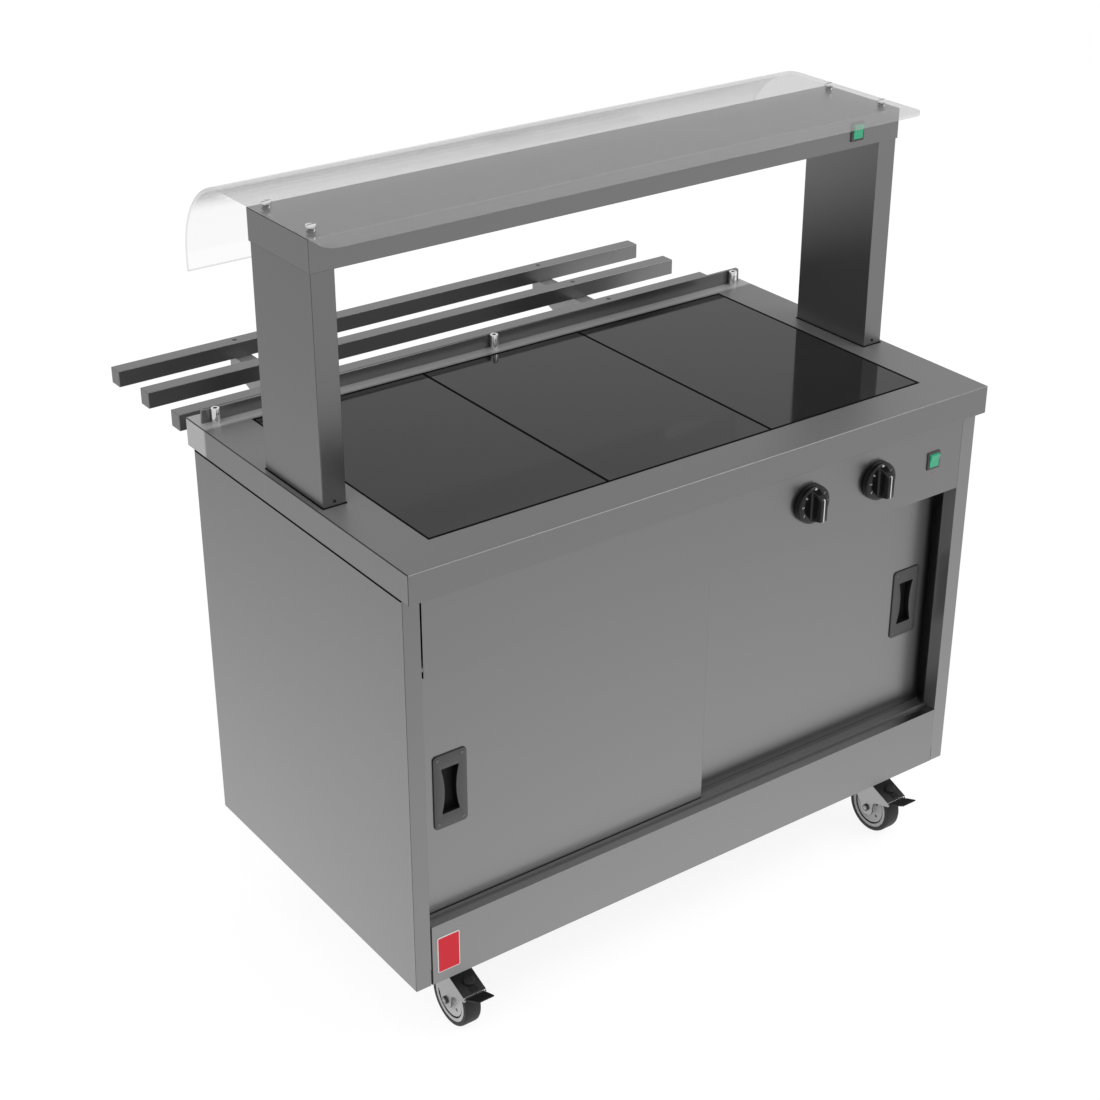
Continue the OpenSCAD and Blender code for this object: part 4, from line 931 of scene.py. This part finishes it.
def makeSealsAndShadeStrips(look):
    tiles = [boxOf("hot_tile_" + side) for side in sides]
    (low, _), (_, high) = tiles[0], tiles[2]
    gap = tiles[1][0][0] - tiles[0][1][0]
    z1, z2 = high[2] - look["deep"], high[2] + look["proud"]
    end, front, foot = look["overEnd"], look["overFront"], look["foot"]
    surface = Surface()
    joints = [(tile[1][0], look["over"]) for tile in tiles[:2]] + [(low[0] - gap, end), (high[0], end)]
    for x, over in joints:
        surface.box((x - over, low[1] - gap - front, z1), (x + gap + over, high[1] + gap + front, z2))
    for y in (low[1] - gap, high[1]):
        surface.box((low[0] - gap, y - front, z1), (high[0] + gap, y + gap + front, z2 - 0.01))
    topLow, topHigh = boxOf("worktop")
    for side in pair:
        postLow, postHigh = boxOf("gantry_post_" + side)
        surface.box((postLow[0] - foot, postLow[1] - foot, topHigh[2] - 1),
                    (postHigh[0] + foot, postHigh[1] + foot, topHigh[2] + foot))
    # painted shade: dark strips under the worktop's ends stand for the shadow gap there, down to where they
    # show past its edge
    panelLow, panelHigh = boxOf("side_panel_left")
    reach = panelLow[0] - topLow[0]
    under = topLow[2] - 0.1
    thick, short = look["shadeStripThick"], look["shadeStripShort"]
    for x1, x2 in ((panelLow[0] - thick, panelLow[0]), (-panelLow[0], thick - panelLow[0])):
        surface.box((x1, panelLow[1] + short, under - reach * 0.9 - look["shadeStrip"]),
                    (x2, panelHigh[1] - short, under))
    surface.make("tileSealsAndShadeStrips", "cabinet", "black_plastic", ["sealant"])


def makeSeams(look):
    # The plinth's ends: a dark strip of painted shade in the gap by the left flange, and a closed seam at the
    # right one
    low, high = boxOf("plinth")
    for part, x, slot, material in (("gap", low[0], "black_plastic", "recess"),
                                    ("seam", high[0], "panel_steel", "sheetAcross")):
        (x1, y1, z1), (x2, y2, z2) = look[part]
        strip = Surface().box((x + x1, low[1] + y1, low[2] + z1), (x + x2, low[1] + y2, high[2] + z2))
        strip.make("plinth" + part.capitalize(), "cabinet", slot, [material])


makeSeams(seamLook)
makeSealsAndShadeStrips(sealAndShadeLook)
print("tiles and seals made")

# Castors: a pressed fork with a sloping cover painted dark as a painted reflection, a lip with a painted
# highlight and a ribbed knob, a toothed pedal, and turned wheels
castorLook = {
    # places are depth from the swivel's line and height from the floor
    "front": 90.0,
    "axle": (-35.0, 50.0),
    "leg": [(22, 137.7), (-24, 137.7), (-30, 124), (-37, 107.6), (-90, 87.4), (-90, 80.5), (-77, 76.5),
            (-64, 73), (-56, 70), (-51.5, 65.5), (-50, 58)],
    "legBack": [(-20, 53), (-12, 62), (4, 84), (17, 104), (20, 120)],
    "bossRadius": 15.0,
    "bossTurn": (165, 372),
    "legSpan": (18.5, 21.8),
    "cover": [(-23.4, 135.2), (-24.6, 135.0), (-37.6, 108.4), (-89.6, 88.6), (-89.4, 86.9), (-36.6, 106.4)],
    "lip": [(-90, 88.9), (-90, 84.2), (-88.8, 84.2), (-88.6, 88.9)],
    # the swivel's race and stem: radius and height; the axle: radius and place along x
    "race": [(0.4, 132.7), (27, 132.7), (28, 133.5), (28, 138.0), (27.4, 138.7), (6, 138.7), (6, 144.7),
             (0.4, 144.7)],
    "axleRod": [(0.4, -25.8), (3.8, -25.8), (3.8, 25.8), (0.4, 25.8)],
    "nut": (7, 3.6),  # radius and thickness
    "nutPlaces": (-25.4, 21.8),
    "slope": math.atan2(19.8, 52.0),
    "knobFoot": (-66.5, 97.3),
    "knobShift": 3,
    "knobSteps": [(9.5, 6.0), (6.5, 7.2)],  # radius and rise
    "knobRibs": (24, 0.35),
    "padStart": 10.5,  # from the knob's middle down the slope to the ribbed pad
    "padPitch": 2.1,
    "padRibs": 5,
    "padRib": (1.1, 2.4),  # width and rise
    "padSpan": (-4.0, 10.0),
    "bevel": 0.5,
    "bevelTurn": 60.0,  # least angle of an edge with a bevel
}


def prism(profile, x1, x2, middle):
    # A flat outline in depth and height, carried along x
    y, z = np.transpose(profile)
    return [points(middle[0] + x, middle[1] + y, z) for x in (x1, x2)]


def turnedAlongX(profile, count, axle, middle):
    # Radius and place along x for each ring, turned about the axle
    y, z = circle(1.0, count).T
    return [points(middle[0] + x, middle[1] + axle[0] + y * r, axle[1] + z * r) for r, x in profile]


def legOutline(look):
    around = np.radians(np.linspace(*look["bossTurn"], 22))
    boss = np.stack([np.cos(around), np.sin(around)], axis=1) * look["bossRadius"] + look["axle"]
    return np.concatenate([look["leg"], boss, look["legBack"]])


def makeFork(corner, look):
    node = "fork_" + corner
    middle = middleOf(node, look["front"])
    inner, outer = look["legSpan"]
    surface = Surface()
    for x1, x2 in ((-outer, -inner), (inner, outer)):
        surface.grid(prism(legOutline(look), x1, x2, middle), capped=True)
    surface.grid(prism(look["cover"], -outer + 0.1, outer - 0.1, middle), 1, capped=True)
    surface.grid(prism(look["lip"], -outer + 0.2, outer - 0.2, middle), 2, capped=True)
    column = (*middle[:2], 0)
    surface.grid([lying(circle(r, 56), h, column) for r, h in look["race"]], capped=True)
    surface.grid(turnedAlongX(look["axleRod"], 24, look["axle"], middle), capped=True)
    radius, thick = look["nut"]
    for x in look["nutPlaces"]:
        surface.grid(turnedAlongX([(radius, x), (radius, x + thick)], 6, look["axle"], middle), 3, capped=True)
    # the knob stands square to the slope, with ribs round it and a ribbed pad before it
    lean = np.array([-math.sin(look["slope"]), math.cos(look["slope"])])
    down = np.array([-math.cos(look["slope"]), -math.sin(look["slope"])])
    foot = np.array(look["knobFoot"])
    for radius, rise in look["knobSteps"]:
        ring = circle(radius, 96, *look["knobRibs"])
        rows = []
        for shrink, height in ((0, -1.0), (0, rise - 0.8), (0.8, rise)):
            x, along = (ring * (1 - shrink / radius)).T
            flat = foot + lean * height
            rows.append(points(middle[0] + look["knobShift"] + x, middle[1] + flat[0] + along * down[0],
                               flat[1] + along * down[1]))
        surface.grid(rows, 1, capped=True)
    ribWide, ribRise = look["padRib"]
    for step in range(look["padRibs"]):
        a = foot + down * (look["padStart"] + step * look["padPitch"])
        b = a + down * ribWide
        profile = [a - lean * 0.5, a + lean * ribRise, b + lean * ribRise, b - lean * 0.5]
        surface.grid(prism(profile, *look["padSpan"], middle), 1, capped=True)
    # the cover is painted dark as a painted reflection of the shaded underside and its lip carries a painted
    # highlight; the knob and pad are black
    materials = ["zinc", "darkPress", "brightZinc", "darkZinc"]
    fork = surface.make(corner + "Fork", "castor_" + corner, "castor_steel", materials, node, 30.0)
    bevel = fork.modifiers.new("rounded edges", "BEVEL")
    bevel.limit_method = "ANGLE"
    bevel.angle_limit = math.radians(look["bevelTurn"])
    bevel.width = look["bevel"] * mm
    bevel.segments = 2
    bevel.harden_normals = True


def bothSides(half):
    # A closed profile from its half at negative x
    return half + [(r, -x) for r, x in reversed(half)] + half[:1]


wheelLook = {
    # radius and place along x
    "tyre": bothSides([(41.5, -14.9), (43, -15.4), (46.6, -15.5), (48.4, -14.9), (49.5, -13.4), (50, -11.0)]),
    "hub": bothSides([(4.05, -18), (11.4, -18), (12, -17.4), (12.4, -13.6), (13.5, -13), (32.6, -13),
                      (33, -12.6), (33.2, -9.2), (35.0, -9.2), (35.4, -13.9), (36, -14.5), (41.5, -14.5)]),
    "hubPaints": [0] * 6 + [1] * 3 + [0] * 5 + [1] * 3 + [0] * 7,  # dark grooves
    "disc": 13.0,
    "holes": 5,
    "holeRing": 22.5,
    "holeRadius": 3.2,
    "holeThick": 0.3,
}


def makeWheel(corner, look, castor):
    x, y, _ = middleOf("tyre_" + corner)
    middle = (x, y - castor["axle"][0])
    tyre = Surface().grid(turnedAlongX(look["tyre"], 128, castor["axle"], middle), 0)
    tyre.make(corner + "Tyre", "wheel_" + corner, "grey_tyre", ["tyre"], "tyre_" + corner, 28.0)
    hub = Surface().grid(turnedAlongX(look["hub"], 96, castor["axle"], middle), look["hubPaints"])
    radius, thick = look["holeRadius"], look["holeThick"]
    for y, z in circle(look["holeRing"], look["holes"]):
        for x in (-look["disc"] - 0.05, look["disc"] + 0.05 - thick):
            spot = (castor["axle"][0] + y, castor["axle"][1] + z)
            hub.grid(turnedAlongX([(radius, x), (radius, x + thick)], 16, spot, middle), 1, capped=True)
    hub.make(corner + "Hub", "wheel_" + corner, "hub_plastic", ["hub", "hubShade"], "hub_" + corner, 28.0)


pedalLook = {
    "teeth": 8,
    "start": (-93.0, 87.6),
    "end": (-121.4, 100.4),
    "toothHigh": 1.1,
    "under": [(-122, 99.4), (-122, 97.5), (-90, 81.7), (-84, 81.6), (-80.0, 82.6), (-78.6, 85.2), (-80.0, 87.6),
              (-82.6, 88.3), (-87, 86.8), (-90.5, 85.8)],
    "front": 122.0,  # from the swivel's line to the pedal's front
    "taper": ([100, 122], [17.8, 15.5]),  # half the width at these distances in front of that line
    "edges": (-1, -0.97, 0.97, 1),  # shares of the half width
    "pin": [(0.4, -21.6), (2, -21.6), (2, 21.6), (0.4, 21.6)],
    "pinPlace": (-82.0, 85.0),
}


def makePedal(side, look):
    # Teeth rise and fall evenly along the top; the sides draw in towards the tip
    node = "brake_pedal_" + side
    middle = middleOf(node, look["front"])
    share = np.linspace(0, 1, look["teeth"] * 2 + 1)
    start, end = np.array(look["start"]), np.array(look["end"])
    top = start + (end - start) * share[:, None]
    top[1::2, 1] -= look["toothHigh"]
    profile = np.concatenate([top, look["under"]])
    y, z = profile.T
    wide = np.interp(-y, *look["taper"])
    rows = [points(middle[0] + share * wide, middle[1] + y, z) for share in look["edges"]]
    surface = Surface().grid(rows, capped=True)
    surface.grid(turnedAlongX(look["pin"], 20, look["pinPlace"], middle), 1, capped=True)
    surface.make(side + "Pedal", "brake_" + side, "black_plastic", ["pedal", "darkZinc"], node, 25.0)


for corner in ("front_left", "front_right", "rear_left", "rear_right"):
    makeFork(corner, castorLook)
    makeWheel(corner, wheelLook, castorLook)
for side in pair:
    makePedal(side, pedalLook)
print("castors made")

plainFinish = {
    "frameSheet": ["base_frame", "door_track_top"],
    "trackSheet": ["door_track_bottom"],
    "linerSheet": ["inner_liner", "tile_tray"],
    "aluminium": ["tile_heaters", "lamp_reflector"],
    "element": ["cupboard_element"],
    "quartz": ["heat_lamps"],
    "darkZinc": ["lamp_guard"],
    "blackScrew": ["bolts_and_screws"],
    "moulding": ["cable_gland"],
    "stat": ["thermostats"],
    "zinc": ["castor_plates"],
}
for material, names in plainFinish.items():
    for name in names:
        painted = nodes[name].data.materials
        painted.clear()
        painted.append(finishes[material])
print("nodes painted")

# Floor, world and lamps
studio = {
    "floorSize": 60.0,
    "floorTone": 0.86,
    "floorOwn": 0.78,  # share of the floor's look that comes from its own light
    "floorGlow": 1.12,
    # the floor in reflections: a painted pool of light, bright near this point, falling away to a steady tone
    "glowMiddle": (0.0, 0.0, 0.0),
    "glowReach": 3.6,
    "nearBright": 1.48,
    "farBright": 0.7,
    "glowTilt": 0.06,  # more per metre to the right
    "tiltMost": 0.3,
    "worldSeen": 1.0,
    "worldMirrored": 0.78,
    "worldLight": 0.7,
}


def makeFloor(setup):
    half = setup["floorSize"] / 2
    mesh = bpy.data.meshes.new("floor")
    corners = [(-half, -half, 0), (half, -half, 0), (half, half, 0), (-half, half, 0)]
    mesh.from_pydata(corners, [], [(0, 1, 2, 3)])
    floor = addObject("floor", mesh)
    paint = Paint("floor")
    rays = {name: paint.add("ShaderNodeLightPath", out=name)
            for name in ("Is Camera Ray", "Is Glossy Ray", "Is Transmission Ray")}
    matt = paint.add("ShaderNodeBsdfDiffuse", inputs={"Color": grey(setup["floorTone"])})
    glow = paint.add("ShaderNodeEmission", inputs={"Color": grey(1.0), "Strength": setup["floorGlow"]})
    seen = (rays["Is Camera Ray"] + rays["Is Transmission Ray"]).clamped()
    own = paint.add("ShaderNodeMixShader", inputs={0: seen * setup["floorOwn"], 1: matt, 2: glow})
    spot = paint.coords()
    across = paint.add("ShaderNodeSeparateXYZ", inputs={0: spot}, out="X")
    offset = paint.add("ShaderNodeVectorMath", {"operation": "SUBTRACT"}, {0: spot, 1: setup["glowMiddle"]})
    away = paint.add("ShaderNodeVectorMath", {"operation": "LENGTH"}, {0: offset}, out="Value")
    near = (1 - away / setup["glowReach"]).clamped()
    rise = setup["nearBright"] - setup["farBright"]
    tilt = (across * setup["glowTilt"]).math("MINIMUM", setup["tiltMost"]).math("MAXIMUM", 0.0)
    bright = near * near * rise + tilt + setup["farBright"]
    mirrored = paint.add("ShaderNodeEmission", inputs={"Color": bright * 0.5, "Strength": 2.0})
    whole = paint.add("ShaderNodeMixShader", inputs={0: rays["Is Glossy Ray"], 1: own, 2: mirrored})
    mesh.materials.append(paint.show(whole))


def makeWorld(setup):
    # White to the camera and through glass, less in reflections, and less again as a light
    world = bpy.data.worlds.new("studio")
    world.use_nodes = True
    tree = world.node_tree
    tree.nodes.clear()
    output = tree.nodes.new("ShaderNodeOutputWorld")
    background = tree.nodes.new("ShaderNodeBackground")
    rays = tree.nodes.new("ShaderNodeLightPath")
    strength = None
    for ray, level in (("Is Glossy Ray", "worldMirrored"), ("Is Transmission Ray", "worldSeen"),
                       ("Is Camera Ray", "worldSeen")):
        mix = tree.nodes.new("ShaderNodeMix")
        tree.links.new(rays.outputs[ray], mix.inputs["Factor"])
        if strength is None:
            mix.inputs["A"].default_value = setup["worldLight"]
        else:
            tree.links.new(strength, mix.inputs["A"])
        mix.inputs["B"].default_value = setup[level]
        strength = mix.outputs["Result"]
    tree.links.new(strength, background.inputs["Strength"])
    tree.links.new(background.outputs[0], output.inputs["Surface"])
    background.inputs["Color"].default_value = grey(1.0)
    bpy.context.scene.world = world


lampSetups = [
    {"name": "key", "place": (2.4, -2.7, 3.9), "aim": (0.0, -0.15, 0.7), "size": 2.4, "power": 55.0,
     "mirrored": True},
    {"name": "fill", "place": (-3.4, -1.2, 2.6), "aim": (0.0, -0.15, 0.6), "size": 2.6, "power": 40.0,
     "mirrored": False},
]


def makeLamp(setup):
    data = bpy.data.lights.new(setup["name"], "AREA")
    data.shape = "SQUARE"
    data.size = setup["size"]
    data.energy = setup["power"]
    lamp = addObject(setup["name"], data)
    lamp.visible_glossy = setup["mirrored"]
    lamp.matrix_world = aimed(setup["place"], Vector(setup["aim"]) - Vector(setup["place"]))


makeFloor(studio)
makeWorld(studio)
for setup in lampSetups:
    makeLamp(setup)
print("studio lit")
